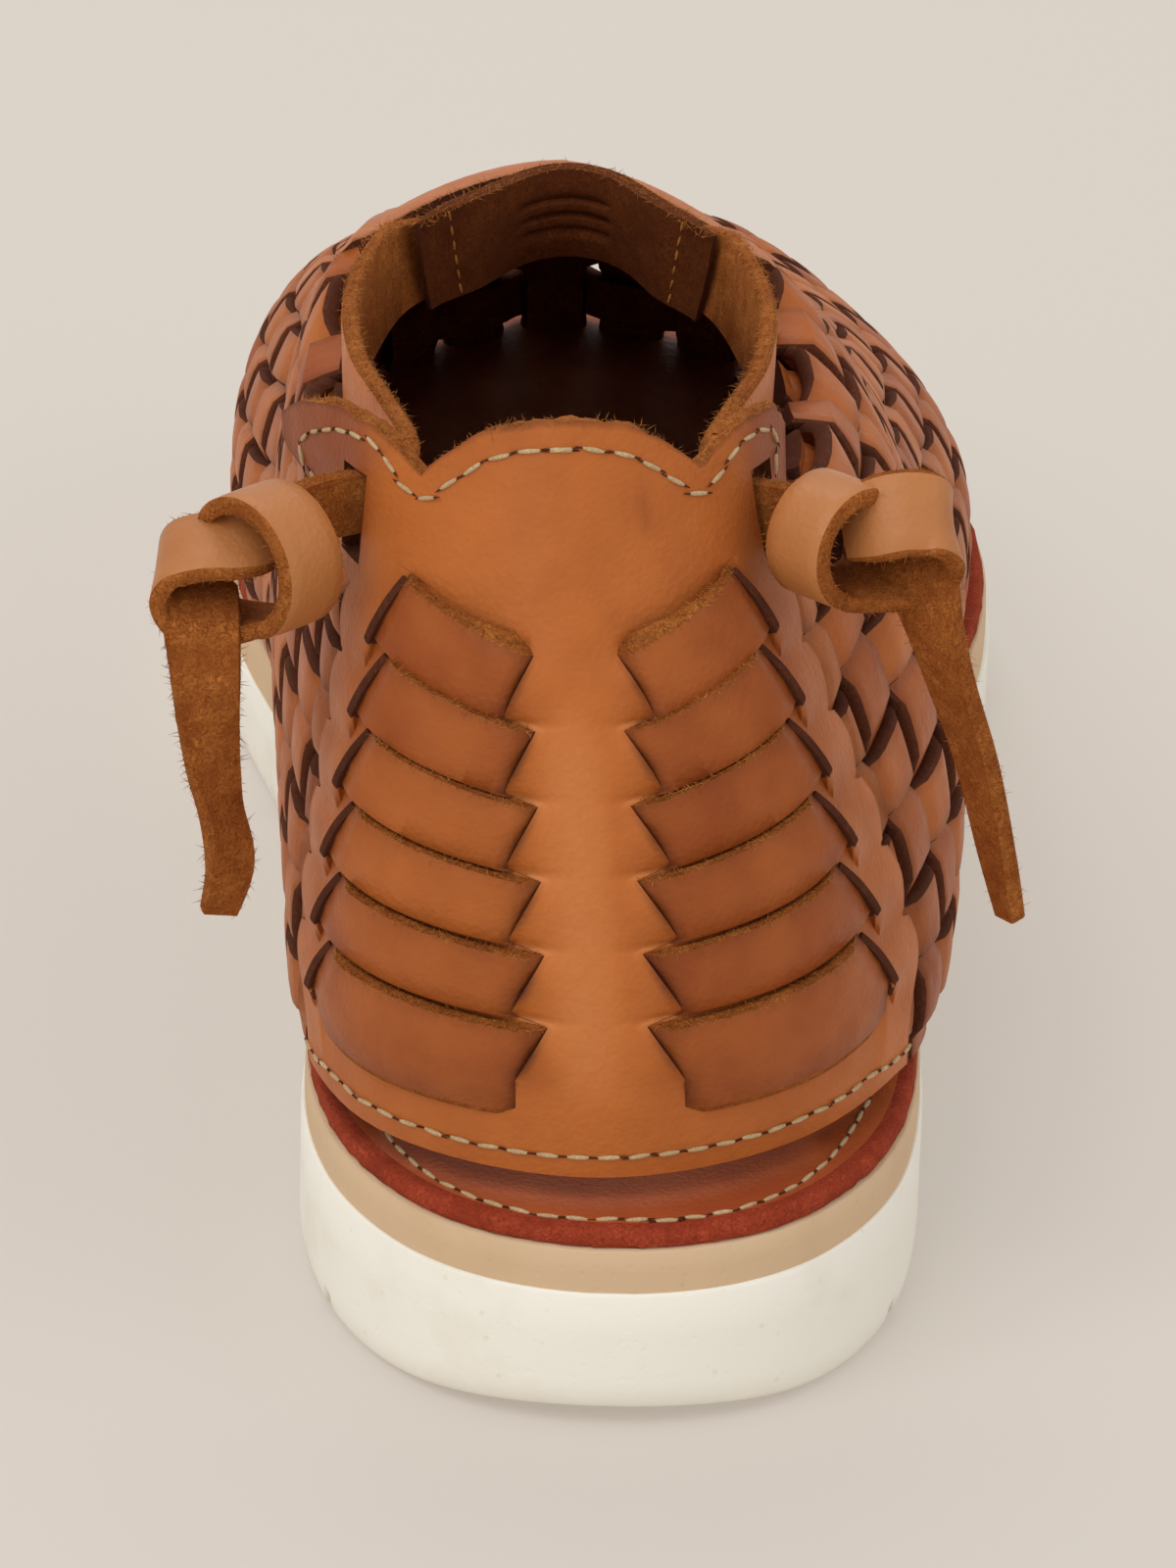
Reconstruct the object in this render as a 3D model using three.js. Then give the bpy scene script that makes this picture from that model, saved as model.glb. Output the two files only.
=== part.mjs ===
// Woven leather huarache for the right foot, in millimetres.
// +X is the outer side, +Y the toe, +Z up; the tread stands on z = 0.
import * as THREE from "three";

// Sole stack
const SOLE_HALF = 145;
const SOLE_WIDE = 45;
const SOLE_END = 144.9;
const INSOLE_TOP_HEEL = 26;
const INSOLE_TOP_BALL = 22.5;
const INSOLE_THICK = 2.2;
const MIDSOLE_HEEL = 5.2;
const MIDSOLE_BALL = 6.6;
const LAYER_GAP = 0.3;
const WEDGE_FROM = -60;
const WEDGE_RUN = 110;
const SPRING = 7;
const SPRING_FROM = 55;
const SPRING_RUN = 90;
const HEEL_BEVEL = 2.4;
const HEEL_BEVEL_FROM = -126;
const MIDSOLE_INSET = 0.6;
const INSOLE_INSET = 1.2;
const INSOLE_ROUND = 0.7;

// Tread: lugs and grooves across the sole, with plain pads under heel and ball
const LUG_PITCH = 11;
const GROOVE = 3.4;
const GROOVE_DEEP = 1.8;
const GROOVE_RAMP = 0.7;
const TREAD_FROM = -119;
const LUG_COUNT = 22;
const PADS = [[-112, -84], [30, 58]];
const HEEL_STATIONS = [-SOLE_END, -144, -141.5, -137.5, -132.5, -126.5];
const TOE_STATIONS = [126.5, 131.5, 136, 140, 143, SOLE_END];
const EDGE_ROUND = 1.8;
const EDGE_RISE = 2.6;

// Upper wall
const WALL = 1.8;
const WALL_LIFT = 0.75;
const LEVEL_SHARE = 0.12;
const COUNTER_LIFT = 2.9;
const COUNTER_LIFT_END = 2.6;
const COUNTER_LIFT_RUN = 0.9;
const STRIP_RAISE = 1.5;
const COLUMNS = 46;
const BANDS = 7;
const STRIP_SHARE = 0.78;
const BAND_GAP = 0.1;
const WALL_START = 1.2;
const WEAVE_CLEAR = 0.32;
const TUCK_SHARE = 0.74;
const TUCK_FROM = 1.7;
const TUCK_RUN = 1.3;
const PLUG_START = 4;
const PLUG_RAISE = 1.2;
const PLUG_BOW_POWER = 1.3;
const PLUG_ACROSS = [0.05, 0.17, 0.33, 0.5, 0.67, 0.83, 0.95];
const ROUND_LENGTH = 20;
const SAMPLES = 24;
const PLACE_STEP = 0.01;
const SHARE_STEP = 0.002;
const PLUG_STEP = 0.02;

// Heel counter
const COUNTER_OFF = 0.8;
const COUNTER_THICK = 2.2;
const COUNTER_SHIFT = 0.05;
const VALLEY = 0.86;
const VALLEY_DEEP = 0.053;
const VALLEY_WIDE = 0.45;
const VALLEY_POWER = 1.5;
const EAR_EDGE = 1.98;
const EAR_SKEW = 0.2;
const EAR_DROP = 0.035;
const EAR_LOBE = 2.14;
const EAR_REACH = 0.6;
const EAR_POWER = 1.5;
const EAR_FLARE_INNER = 3;
const EAR_FLARE_OUTER = 1;
const HEM_FROM = 0.36;
const HEM_TO = 1.45;
const STRAP_COUNT = 6;
const STRAP_TOP_INNER = 0.703;
const STRAP_PITCH_INNER = 0.0973;
const STRAP_TALL_INNER = 0.081;
const STRAP_TOP_OUTER = 0.812;
const STRAP_PITCH_OUTER = 0.1095;
const STRAP_TALL_OUTER = 0.096;
const STRAP_FROM_LOW = 0.365;
const STRAP_FROM_HIGH = 0.21;
const STRAP_TO_LOW = 1.09;
const STRAP_TO_LOW_STEP = 0.078;
const STRAP_TO_HIGH = 0.89;
const STRAP_TO_HIGH_STEP = 0.075;
const STRAP_SHOULDER = 0.45;
const STRAP_CLIMB = 1.1;
const STRAP_RAISE = 1.7;
const STRAP_TUCK = 0.5;
const LIP_RAISE = 1.5;
const LIP_STEP = 0.05;
const LIP_FALL = [[0.3, 0.4], [0.6, 0], [0.8, 0]];
const MARGIN_DIP = 0.05;
const SLIT_LOW = 0.796;
const SLIT_OVER = 0.835;
const SLIT_HIGH = 0.925;
const SLIT_PLACES = [0.35, 0.4, 0.58, 0.72, VALLEY, 0.98, 1.05, 1.12];
const SLIT_IN = 1.3;
const SLIT_OUT = 1.56;
const SLIT_EDGE = 1.72;

// Collar band and ties
const SADDLE_THICK = 2.2;
const SADDLE_DROP = 13;
const SADDLE_LEAN = 3;
const SADDLE_TAPER = 0.16;
const SADDLE_ROWS = [0, 0.5, 1];
const SADDLE_STEPS = 14;
const RIM_STEP = 0.1;
const STRAP_THICK = 2;
const STRAP_STOPS = 26;
const COLLAR_X = -8.5;
const ROLL_WIDE = 9.5;
const ROLL_AXIS_X = 0.7;
const ROLL_AXIS_Y = -0.71;
const ROLL_STEPS = 16;
const ROLL_FROM = 0.75;
const ROLL_TO = 4.75;
const END_STOPS = 20;

const GRAIN = new THREE.MeshStandardMaterial({ color: 0xb0693a, roughness: 0.45, metalness: 0 });
const COUNTER_GRAIN = new THREE.MeshStandardMaterial({ color: 0xb5703f, roughness: 0.42, metalness: 0 });
const SUEDE = new THREE.MeshStandardMaterial({ color: 0x8a4d26, roughness: 0.95, metalness: 0 });
const TIE_GRAIN = new THREE.MeshStandardMaterial({ color: 0xc8894f, roughness: 0.5, metalness: 0 });
const FOOTBED = new THREE.MeshStandardMaterial({ color: 0x964b2c, roughness: 0.6, metalness: 0 });
const MIDSOLE_TAN = new THREE.MeshStandardMaterial({ color: 0xcdaa82, roughness: 0.8, metalness: 0 });
const IVORY = new THREE.MeshStandardMaterial({ color: 0xece6d6, roughness: 0.75, metalness: 0 });

// Plan of the sole, heel to toe: y, inner edge, outer edge
const SOLE_PLAN = [
  [-145, 0, 0],
  [-140, -18, 18],
  [-130, -28, 28],
  [-115, -35, 35],
  [-95, -38, 38],
  [-60, -36.5, 38.5],
  [-20, -37, 41],
  [20, -44, 47],
  [52, -51.5, 52.8],
  [78, -53.5, 52.8],
  [104, -49.5, 45],
  [121, -40.5, 35],
  [137, -26, 20],
  [145, -6, -6],
];

// Wall sections: foot x y, lower handle x y z, upper handle x y z, top x y z
const HEEL_BACK = [-3, -134.5, -1, -4.5, 28, 0, -6, -26, -8.5, -121.5, 119.2];
const OUTER_SECTIONS = [
  [20, -124, 4, -4, 28, 2.5, -4, -26, 7, -115, 116],
  [35, -98, 3, 0, 28, -1.5, 0, -26, 16.5, -96, 113.3],
  [40, -66, 4, 0, 24, 16.5, 0, -12, 20.5, -60, 97],
  [40, -30, 5.5, 0, 26, 15.5, 0, -14, 16.5, -27, 100.5],
  [42.5, 10, 6.5, 0, 24, 17, 0, -13, 13, 8, 90],
  [45.5, 40, 6, 0, 19, 23, 0, -12, 12.5, 38, 77],
  [47, 68, 4, 1, 19, 25, 2, -11, 9, 62, 69],
  [40, 99, 3.5, 3.5, 16, 20, 11, -7, 4, 80, 63.5],
  [23, 123, 3, 4.5, 17, 17, 22, -5, -2, 87.5, 62],
];
const TOE_TIP = [-6, 135.5, 0, 5, 17, 0, 27, -4, -7.5, 90, 61.5];
const INNER_SECTIONS = [
  [-26, -124, -4, -4, 28, -2, -4, -26, -24.3, -115, 114.3],
  [-36, -98, -3, 0, 28, 4.5, 0, -26, -35, -96, 112.4],
  [-38, -66, -3.5, 0, 24, -3.5, 0, -12, -37, -60, 97],
  [-38, -30, -7, 0, 27, -9.5, 0, -9, -33, -27, 102],
  [-41.5, 10, -8.5, 0, 26, -6, 0, -8, -29, 8, 93],
  [-46, 40, -8.5, 0, 22, -9.5, 0, -6, -31, 38, 80],
  [-48, 70, -6, 1, 22, -14.5, 2, -5, -29, 62, 70.5],
  [-43, 102, -4.5, 3.5, 18, -19, 12, -5, -21.5, 80, 64],
  [-29, 124, -3, 4.5, 17, -13, 22, -5, -13.5, 87.5, 62.2],
];
const SECTIONS = [HEEL_BACK, ...OUTER_SECTIONS, TOE_TIP, ...INNER_SECTIONS.slice().reverse()];

// Front edge of the heel counter: share of the wall's height, place
const COUNTER_FRONT = [
  [0, 1.72],
  [0.15, 1.8],
  [0.4, 1.67],
  [0.77, 1.43],
  [0.8, SLIT_EDGE],
  [0.93, SLIT_EDGE],
  [1, EAR_EDGE],
];

// Vamp plug sections from throat to toe: crown, forward bow, squareness
const PLUG_SECTIONS = [
  [5.6, 15, 2.2],
  [6, 2, 2.2],
  [4.5, 0, 2],
  [3.5, 0, 2],
  [2.2, 0, 2],
  [1, 0, 2],
  [0, 0, 2],
];

// Upper edge of the throat saddle from the outer to the inner side: x, y, z
const SADDLE_RIM = [
  [10.2, -33, 107.5],
  [7, -27.6, 108],
  [3, -22.2, 108.5],
  [-1.5, -16.8, 109.2],
  [-6.3, -14.4, 109.5],
  [-11.4, -15.9, 109.4],
  [-17.3, -21.2, 108.8],
  [-22.4, -26.2, 108.2],
  [-25.6, -31, 107.5],
];

// Ankle strap from saddle through slit to roll: distance from the collar's middle, y, z, lean, width
const STRAP_PATH = [
  [17.4, -24.5, 101.5, 0.1, 12.5],
  [20.7, -31, 101.5, 0.1, 12.5],
  [23.2, -41, 101.5, 0.1, 12.5],
  [25.2, -57, 101.5, 0.05, 12.5],
  [24.2, -74, 101.5, 0, 12.5],
  [20.6, -88, 101.8, 0, 12],
  [18, -98, 102.8, 0, 10],
  [17.4, -104, 103.5, 0, 8],
  [18.9, -108.2, 103.6, 0, 7.2],
  [22.6, -110.2, 103.6, 0, 7.2],
  [27.6, -112.5, 103.5, 0, 7.2],
  [32.4, -116.3, 103.3, 0, 7.2],
];

// Rolls of the ties: distance from the collar's middle, y, z, radius
const ROLL_OUTER = [31.9, -118.6, 104.6, 7.6];
const ROLL_INNER = [34.3, -118.6, 99.7, 8.7];

// Tie ends from the roll over a fold and down: distance from the collar's middle, y, z,
// width direction outward, y, z, width
const END_OUTER = [
  [33.2, -117, 103.3, 0, 0, 1, 6.5],
  [36, -119.9, 103.9, -0.1, 0.45, 0.85, 6.5],
  [39, -122.1, 105.8, -0.15, 0.6, 0.78, 7],
  [43.8, -121, 107.2, -0.3, 0.6, 0.7, 10.5],
  [45.6, -120.4, 103, -0.45, 0.7, 0.5, 10],
  [44.4, -121, 96.5, -0.75, 0.6, 0.15, 9.5],
  [45.5, -120.5, 87.5, -0.85, 0.5, 0, 8.5],
  [49.7, -119, 76, -0.8, 0.6, 0, 7.5],
  [52.5, -117, 63, -0.7, 0.7, 0, 6],
  [54.2, -116, 54, -0.7, 0.7, 0, 4.5],
];
const END_INNER = [
  [33.45, -117.2, 103.2, 0, 0, 1, 6.5],
  [36.8, -120, 102, 0, 0.6, 0.75, 7],
  [41, -120.2, 101.4, 0, 0.92, 0.39, 9.5],
  [45.2, -119.6, 98.6, -0.2, 0.9, 0.35, 10.5],
  [44.2, -120.2, 93.5, -0.5, 0.8, 0.3, 10],
  [41.6, -121.8, 87.5, -0.85, 0.5, 0.1, 9],
  [40.2, -122, 80, -1, 0.2, 0, 8],
  [39.8, -121.5, 72, -0.95, 0.3, 0, 7],
  [39.2, -120.5, 64.5, -0.7, 0.7, 0, 6],
  [38.2, -120, 59.5, -0.9, 0.4, 0, 5.5],
  [39.9, -119, 53.5, -0.9, 0.3, 0, 4],
];

function clamp(value, low, high) {
  return Math.min(high, Math.max(low, value));
}

function smooth(value) {
  const w = clamp(value, 0, 1);
  return w * w * (3 - 2 * w);
}

function mix(a, b, w) {
  return a + (b - a) * w;
}

function spline(p0, p1, p2, p3, f) {
  const a = 2 * p1 + (p2 - p0) * f;
  const b = (2 * p0 - 5 * p1 + 4 * p2 - p3) * f * f;
  return 0.5 * (a + b + (3 * p1 - p0 - 3 * p2 + p3) * f * f * f);
}

// Read every column of an open table at a fractional row
function tableAt(table, at) {
  const last = table.length - 1;
  const i = clamp(Math.floor(at), 0, last - 1);
  const rows = [i - 1, i, i + 1, i + 2].map((k) => table[clamp(k, 0, last)]);
  return table[0].map((_, c) => spline(...rows.map((row) => row[c]), at - i));
}

// Sole heights along y
function rocker(y) {
  const s = Math.max(0, (y - SPRING_FROM) / SPRING_RUN);
  return SPRING * s * s;
}

function wedge(y) {
  return smooth((y - WEDGE_FROM) / WEDGE_RUN);
}

function insoleTop(y) {
  return mix(INSOLE_TOP_HEEL, INSOLE_TOP_BALL, wedge(y)) + rocker(y);
}

function midsoleTop(y) {
  return insoleTop(y) - INSOLE_THICK - LAYER_GAP;
}

function outsoleTop(y) {
  return midsoleTop(y) - mix(MIDSOLE_HEEL, MIDSOLE_BALL, wedge(y)) - LAYER_GAP;
}

function treadFloor(y) {
  const bevel = Math.max(0, (HEEL_BEVEL_FROM - y) / (SOLE_HALF + HEEL_BEVEL_FROM));
  return rocker(y) + HEEL_BEVEL * bevel * bevel;
}

// Edge of the sole on one side, read along an angle so that heel and toe stay round
function soleEdge(y, column) {
  const angles = SOLE_PLAN.map((row) => Math.acos(clamp(-row[0] / SOLE_HALF, -1, 1)));
  const a = Math.acos(clamp(-y / SOLE_HALF, -1, 1));
  const last = SOLE_PLAN.length - 1;
  let i = 0;
  while (i < last - 1 && angles[i + 1] < a) {
    i += 1;
  }
  const value = (k) => SOLE_PLAN[clamp(k, 0, last)][column];
  const slope = (k) => {
    const low = Math.max(0, k - 1);
    const high = Math.min(last, k + 1);
    return (value(high) - value(low)) / (angles[high] - angles[low]);
  };
  const run = angles[i + 1] - angles[i];
  const f = (a - angles[i]) / run;
  const h01 = f * f * (3 - 2 * f);
  const h10 = f * (1 - f) * (1 - f);
  const h11 = f * f * (f - 1);
  return mix(value(i), value(i + 1), h01) + run * (h10 * slope(i) + h11 * slope(i + 1));
}

// Ring of the sole at one height function, drawn in by a margin
function soleRing(stations, inset, height) {
  const k = 1 - inset / SOLE_WIDE;
  const along = 1 - inset / SOLE_HALF;
  const edge = (y, column) => {
    const centre = (soleEdge(y, 1) + soleEdge(y, 2)) / 2;
    const x = centre + (soleEdge(y, column) - centre) * k;
    return new THREE.Vector3(x, y * along, height(y));
  };
  const outer = stations.map((y) => edge(y, 2));
  const inner = stations.map((y) => edge(y, 1));
  return [...outer, ...inner.reverse()];
}

function meshOf(name, material, points, faces) {
  const geometry = new THREE.BufferGeometry();
  const values = points.flatMap((p) => [p.x, p.y, p.z]);
  geometry.setAttribute("position", new THREE.Float32BufferAttribute(values, 3));
  geometry.setIndex(faces.flat());
  geometry.computeVertexNormals();
  const mesh = new THREE.Mesh(geometry, material);
  mesh.name = name;
  return mesh;
}

// Closed body from stacked rings, with caps laid across in ladders
function loft(name, material, rings) {
  const count = rings[0].length;
  const rungs = count / 2;
  const points = rings.flat();
  const faces = [];
  for (let r = 0; r < rings.length - 1; r += 1) {
    for (let i = 0; i < count; i += 1) {
      const a = r * count + i;
      const b = r * count + ((i + 1) % count);
      faces.push([a, b, b + count], [a, b + count, a + count]);
    }
  }
  const top = (rings.length - 1) * count;
  for (let i = 0; i < rungs - 1; i += 1) {
    const far = count - 1 - i;
    faces.push([i, far, far - 1], [i, far - 1, i + 1]);
    faces.push([top + i, top + i + 1, top + far - 1], [top + i, top + far - 1, top + far]);
  }
  return meshOf(name, material, points, faces);
}

// Closed body from a patch of quads with an outer and an inner face
function shell(name, material, outer, inner, quads) {
  const count = outer.length;
  const faces = [];
  const edges = new Set();
  const rings = quads.map((quad) => quad.filter((v, i) => v !== quad[(i + 1) % quad.length]));
  const whole = rings.filter((ring) => ring.length > 2);
  for (const ring of whole) {
    for (let i = 1; i < ring.length - 1; i += 1) {
      faces.push([ring[0], ring[i], ring[i + 1]]);
      faces.push([ring[0] + count, ring[i + 1] + count, ring[i] + count]);
    }
    ring.forEach((v, i) => edges.add(`${v}_${ring[(i + 1) % ring.length]}`));
  }
  for (const edge of edges) {
    const [a, b] = edge.split("_").map(Number);
    if (!edges.has(`${b}_${a}`)) {
      faces.push([b, a, a + count], [b, a + count, b + count]);
    }
  }
  return meshOf(name, material, [...outer, ...inner], faces);
}

// Wall section at a place round the shoe: 0 is the heel, 10 the toe tip
function sectionAt(t) {
  const count = SECTIONS.length;
  const at = ((t % count) + count) % count;
  const i = Math.floor(at);
  const rows = [count - 1, 0, 1, 2].map((k) => SECTIONS[(i + k) % count]);
  const r = SECTIONS[0].map((_, c) => spline(...rows.map((row) => row[c]), at - i));
  const near = Math.min(at, count - at);
  const heel = clamp((COUNTER_LIFT_END - near) / COUNTER_LIFT_RUN, 0, 1);
  const lift = WALL_LIFT + COUNTER_LIFT * heel;
  const foot = new THREE.Vector3(r[0], r[1], insoleTop(r[1]) + lift);
  const top = new THREE.Vector3(r[8], r[9], r[10]);
  const low = new THREE.Vector3(r[2], r[3], r[4]).add(foot);
  const high = new THREE.Vector3(r[5], r[6], r[7]).add(top);
  return new THREE.CubicBezierCurve3(foot, low, high, top);
}

// Point a share of the way up the wall
function wallPoint(t, share) {
  const curve = sectionAt(t);
  const points = curve.getPoints(SAMPLES);
  const run = [0];
  for (let i = 1; i <= SAMPLES; i += 1) {
    run.push(run[i - 1] + points[i].distanceTo(points[i - 1]));
  }
  const want = clamp(share, 0, 1) * run[SAMPLES];
  let k = 0;
  while (k < SAMPLES - 1 && run[k + 1] < want) {
    k += 1;
  }
  const u = (k + (want - run[k]) / (run[k + 1] - run[k])) / SAMPLES;
  return curve.getPoint(u);
}

// Point off the wall by a distance along its outward normal
function wallOff(t, share, ...offsets) {
  const along = wallPoint(t + PLACE_STEP, share).sub(wallPoint(t - PLACE_STEP, share));
  const above = wallPoint(t, Math.min(1, share + SHARE_STEP));
  const up = above.sub(wallPoint(t, Math.max(0, share - SHARE_STEP)));
  const normal = along.cross(up).normalize();
  normal.z *= smooth(share / LEVEL_SHARE);
  normal.normalize();
  const point = wallPoint(t, share);
  return offsets.map((off) => point.clone().addScaledVector(normal, off));
}

// Place round the shoe for a share of the foot line from the outer to the inner wall end
const FOOT_STEPS = 400;
const WALL_END = ROUND_LENGTH - WALL_START;
const footRun = [0];
for (let i = 1; i <= FOOT_STEPS; i += 1) {
  const here = sectionAt(mix(WALL_START, WALL_END, i / FOOT_STEPS)).v0;
  const back = sectionAt(mix(WALL_START, WALL_END, (i - 1) / FOOT_STEPS)).v0;
  footRun.push(footRun[i - 1] + here.distanceTo(back));
}

function placeAt(share) {
  const want = share * footRun[FOOT_STEPS];
  let k = 0;
  while (k < FOOT_STEPS - 1 && footRun[k + 1] < want) {
    k += 1;
  }
  const f = (want - footRun[k]) / (footRun[k + 1] - footRun[k]);
  return mix(WALL_START, WALL_END, (k + f) / FOOT_STEPS);
}

// Share of the wall's height that is left where it tucks in under the counter
function wallTop(t) {
  const near = Math.min(t, ROUND_LENGTH - t);
  return mix(TUCK_SHARE, 1, smooth((near - TUCK_FROM) / TUCK_RUN));
}

// Place of the counter's front edge at a share of the wall's height
function frontAt(share) {
  const last = COUNTER_FRONT.length - 1;
  let i = 0;
  while (i < last - 1 && COUNTER_FRONT[i + 1][0] < share) {
    i += 1;
  }
  const [low, from] = COUNTER_FRONT[i];
  const [high, to] = COUNTER_FRONT[i + 1];
  return mix(from, to, clamp((share - low) / (high - low), 0, 1));
}

// Point of the vamp plug between the outer and the inner wall top
function plugPoint(tOuter, tInner, across) {
  const a = wallPoint(tOuter, 1);
  const b = wallPoint(tInner, 1);
  const t = (tOuter + ROUND_LENGTH - tInner) / 2;
  const [crown, bow, square] = tableAt(PLUG_SECTIONS, t - PLUG_START);
  const spread = Math.abs(2 * across - 1);
  const ahead = bow * (1 - spread ** PLUG_BOW_POWER);
  const rise = crown * (1 - spread ** square);
  return a.lerp(b, across).add(new THREE.Vector3(0, ahead, rise));
}

function plugOff(tOuter, tInner, across, ...offsets) {
  const step = PLUG_STEP;
  const side = plugPoint(tOuter, tInner, across + step).sub(plugPoint(tOuter, tInner, across - step));
  const ahead = plugPoint(tOuter + step, tInner - step, across);
  const along = ahead.sub(plugPoint(tOuter - step, tInner + step, across));
  const normal = along.cross(side).normalize();
  const point = plugPoint(tOuter, tInner, across);
  return offsets.map((off) => point.clone().addScaledVector(normal, off));
}

// Outsole with lugs
function makeOutsole() {
  const floor = HEEL_STATIONS.map(() => 0);
  const stations = [...HEEL_STATIONS];
  for (let i = 0; i < LUG_COUNT; i += 1) {
    const y = TREAD_FROM + i * LUG_PITCH;
    const plain = PADS.some(([low, high]) => y > low && y < high);
    const deep = plain ? 0 : GROOVE_DEEP;
    stations.push(y, y + GROOVE_RAMP, y + GROOVE - GROOVE_RAMP, y + GROOVE);
    floor.push(0, deep, deep, 0);
  }
  stations.push(...TOE_STATIONS);
  floor.push(...TOE_STATIONS.map(() => 0));
  const lug = new Map(stations.map((y, i) => [y, floor[i]]));
  const under = (y) => treadFloor(y) + lug.get(y);
  const rings = [
    soleRing(stations, EDGE_ROUND, under),
    soleRing(stations, EDGE_ROUND / 4, (y) => under(y) + EDGE_RISE / 3),
    soleRing(stations, 0, (y) => treadFloor(y) + GROOVE_DEEP + EDGE_RISE),
    soleRing(stations, 0, outsoleTop),
  ];
  return loft("outsole", IVORY, rings);
}

const LAYER_STATIONS = [];
const LAYER_COUNT = 40;
for (let i = 0; i <= LAYER_COUNT; i += 1) {
  LAYER_STATIONS.push(-SOLE_END * Math.cos((Math.PI * i) / LAYER_COUNT));
}

function makeMidsole() {
  return loft("midsole", MIDSOLE_TAN, [
    soleRing(LAYER_STATIONS, MIDSOLE_INSET, (y) => outsoleTop(y) + LAYER_GAP),
    soleRing(LAYER_STATIONS, MIDSOLE_INSET, midsoleTop),
  ]);
}

function makeInsole() {
  return loft("insole", FOOTBED, [
    soleRing(LAYER_STATIONS, INSOLE_INSET, (y) => midsoleTop(y) + LAYER_GAP),
    soleRing(LAYER_STATIONS, INSOLE_INSET, (y) => insoleTop(y) - INSOLE_ROUND),
    soleRing(LAYER_STATIONS, INSOLE_INSET + INSOLE_ROUND, insoleTop),
  ]);
}

// Woven wall round the foot with the plain vamp plug across its top
function makeUpper() {
  const places = [];
  for (let i = 0; i < COLUMNS; i += 1) {
    const margin = (1 - STRIP_SHARE) / 2;
    places.push(placeAt((i + (i > 0 ? margin : 0)) / COLUMNS));
    places.push(placeAt((i + 1 - (i < COLUMNS - 1 ? margin : 0)) / COLUMNS));
  }
  const shares = [];
  for (let k = 0; k < BANDS; k += 1) {
    shares.push((k + (k > 0 ? BAND_GAP : 0)) / BANDS);
    shares.push((k + 1 - (k < BANDS - 1 ? BAND_GAP : 0)) / BANDS);
  }
  const woven = (t, share) => {
    const near = Math.min(t, ROUND_LENGTH - t);
    return near > frontAt(share * wallTop(t)) + WEAVE_CLEAR;
  };
  const outer = [];
  const inner = [];
  const rows = shares.length;
  places.forEach((t, c) => {
    shares.forEach((share, r) => {
      const over = (Math.floor(c / 2) + Math.floor(r / 2)) % 2 === 0;
      const raise = over && woven(t, share) && r < rows - 1 ? STRIP_RAISE : 0;
      const [o, n] = wallOff(t, share * wallTop(t), raise, -WALL);
      outer.push(o);
      inner.push(n);
    });
  });
  const quads = [];
  for (let c = 0; c < places.length - 1; c += 1) {
    for (let r = 0; r < rows - 1; r += 1) {
      const gap = c % 2 === 1 && r % 2 === 1 && (Math.floor(c / 2) + Math.floor(r / 2)) % 2 === 0;
      const ends = [places[c], places[c + 1]];
      const open = gap && ends.every((t) => woven(t, shares[r]) && woven(t, shares[r + 1]));
      const a = c * rows + r;
      if (!open) {
        quads.push([a, a + rows, a + rows + 1, a + 1]);
      }
    }
  }
  const last = places.length - 1;
  const line = (c) => [c * rows + rows - 1, (last - c) * rows + rows - 1];
  let back = null;
  for (let c = 0; c <= (last - 1) / 2; c += 1) {
    if (places[c] < PLUG_START) {
      continue;
    }
    const [a, b] = line(c);
    const middle = c === (last - 1) / 2;
    const between = PLUG_ACROSS.map((f) => {
      if (middle) {
        return f < 0.5 ? a : b;
      }
      const [o, n] = plugOff(places[c], places[last - c], f, PLUG_RAISE, -WALL);
      outer.push(o);
      inner.push(n);
      return outer.length - 1;
    });
    const front = [a, ...between, b];
    if (back) {
      for (let i = 0; i < front.length - 1; i += 1) {
        quads.push([back[i], front[i], front[i + 1], back[i + 1]]);
      }
    }
    back = front;
  }
  return shell("upper", GRAIN, outer, inner, quads);
}

// Rows of the counter from its hem to its top: inner share, outer share, raise, strap end places
function counterRows() {
  const rows = [{ low: 0, high: 0, raise: 0, from: HEM_FROM, to: HEM_TO }];
  for (let k = STRAP_COUNT - 1; k >= 0; k -= 1) {
    const low = STRAP_TOP_INNER - STRAP_PITCH_INNER * k;
    const high = STRAP_TOP_OUTER - STRAP_PITCH_OUTER * k;
    rows.push({
      low: low - STRAP_TALL_INNER,
      high: high - STRAP_TALL_OUTER,
      raise: STRAP_TUCK,
      from: STRAP_FROM_LOW,
      to: STRAP_TO_LOW + STRAP_TO_LOW_STEP * k,
    });
    rows.push({
      low,
      high,
      raise: STRAP_RAISE,
      from: STRAP_FROM_HIGH,
      to: STRAP_TO_HIGH + STRAP_TO_HIGH_STEP * k,
    });
  }
  return rows;
}

// Half of a counter row across one strap, from its inner slit to the front edge: place, share, raise
function strapRow(row) {
  const raised = row.raise > 0;
  const end = raised ? STRAP_TUCK / 2 : 0;
  const cover = raised ? LIP_RAISE : 0;
  const middle = mix(row.from, row.to, 0.5);
  const lip = row.to + LIP_STEP;
  const front = frontAt(row.high - MARGIN_DIP);
  const strap = [
    [row.from - LIP_STEP, raised ? STRAP_TUCK : 0],
    [row.from, end],
    [mix(row.from, middle, STRAP_SHOULDER), row.raise],
    [middle, row.raise],
    [mix(middle, row.to, 0.5), row.raise],
    [row.to - LIP_STEP, row.raise],
    [row.to, end],
    [lip, cover],
  ];
  const margin = LIP_FALL.map(([part, fall]) => [mix(lip, front, part), cover * fall]);
  return [...strap, ...margin, [front, 0]].map(([reach, raise]) => {
    const climb = clamp((reach - row.from) / (row.to - row.from), 0, 1) ** STRAP_CLIMB;
    const dip = raised && reach > lip + LIP_STEP ? MARGIN_DIP : 0;
    return [reach, mix(row.low, row.high, climb) - dip, raise];
  });
}

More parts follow.
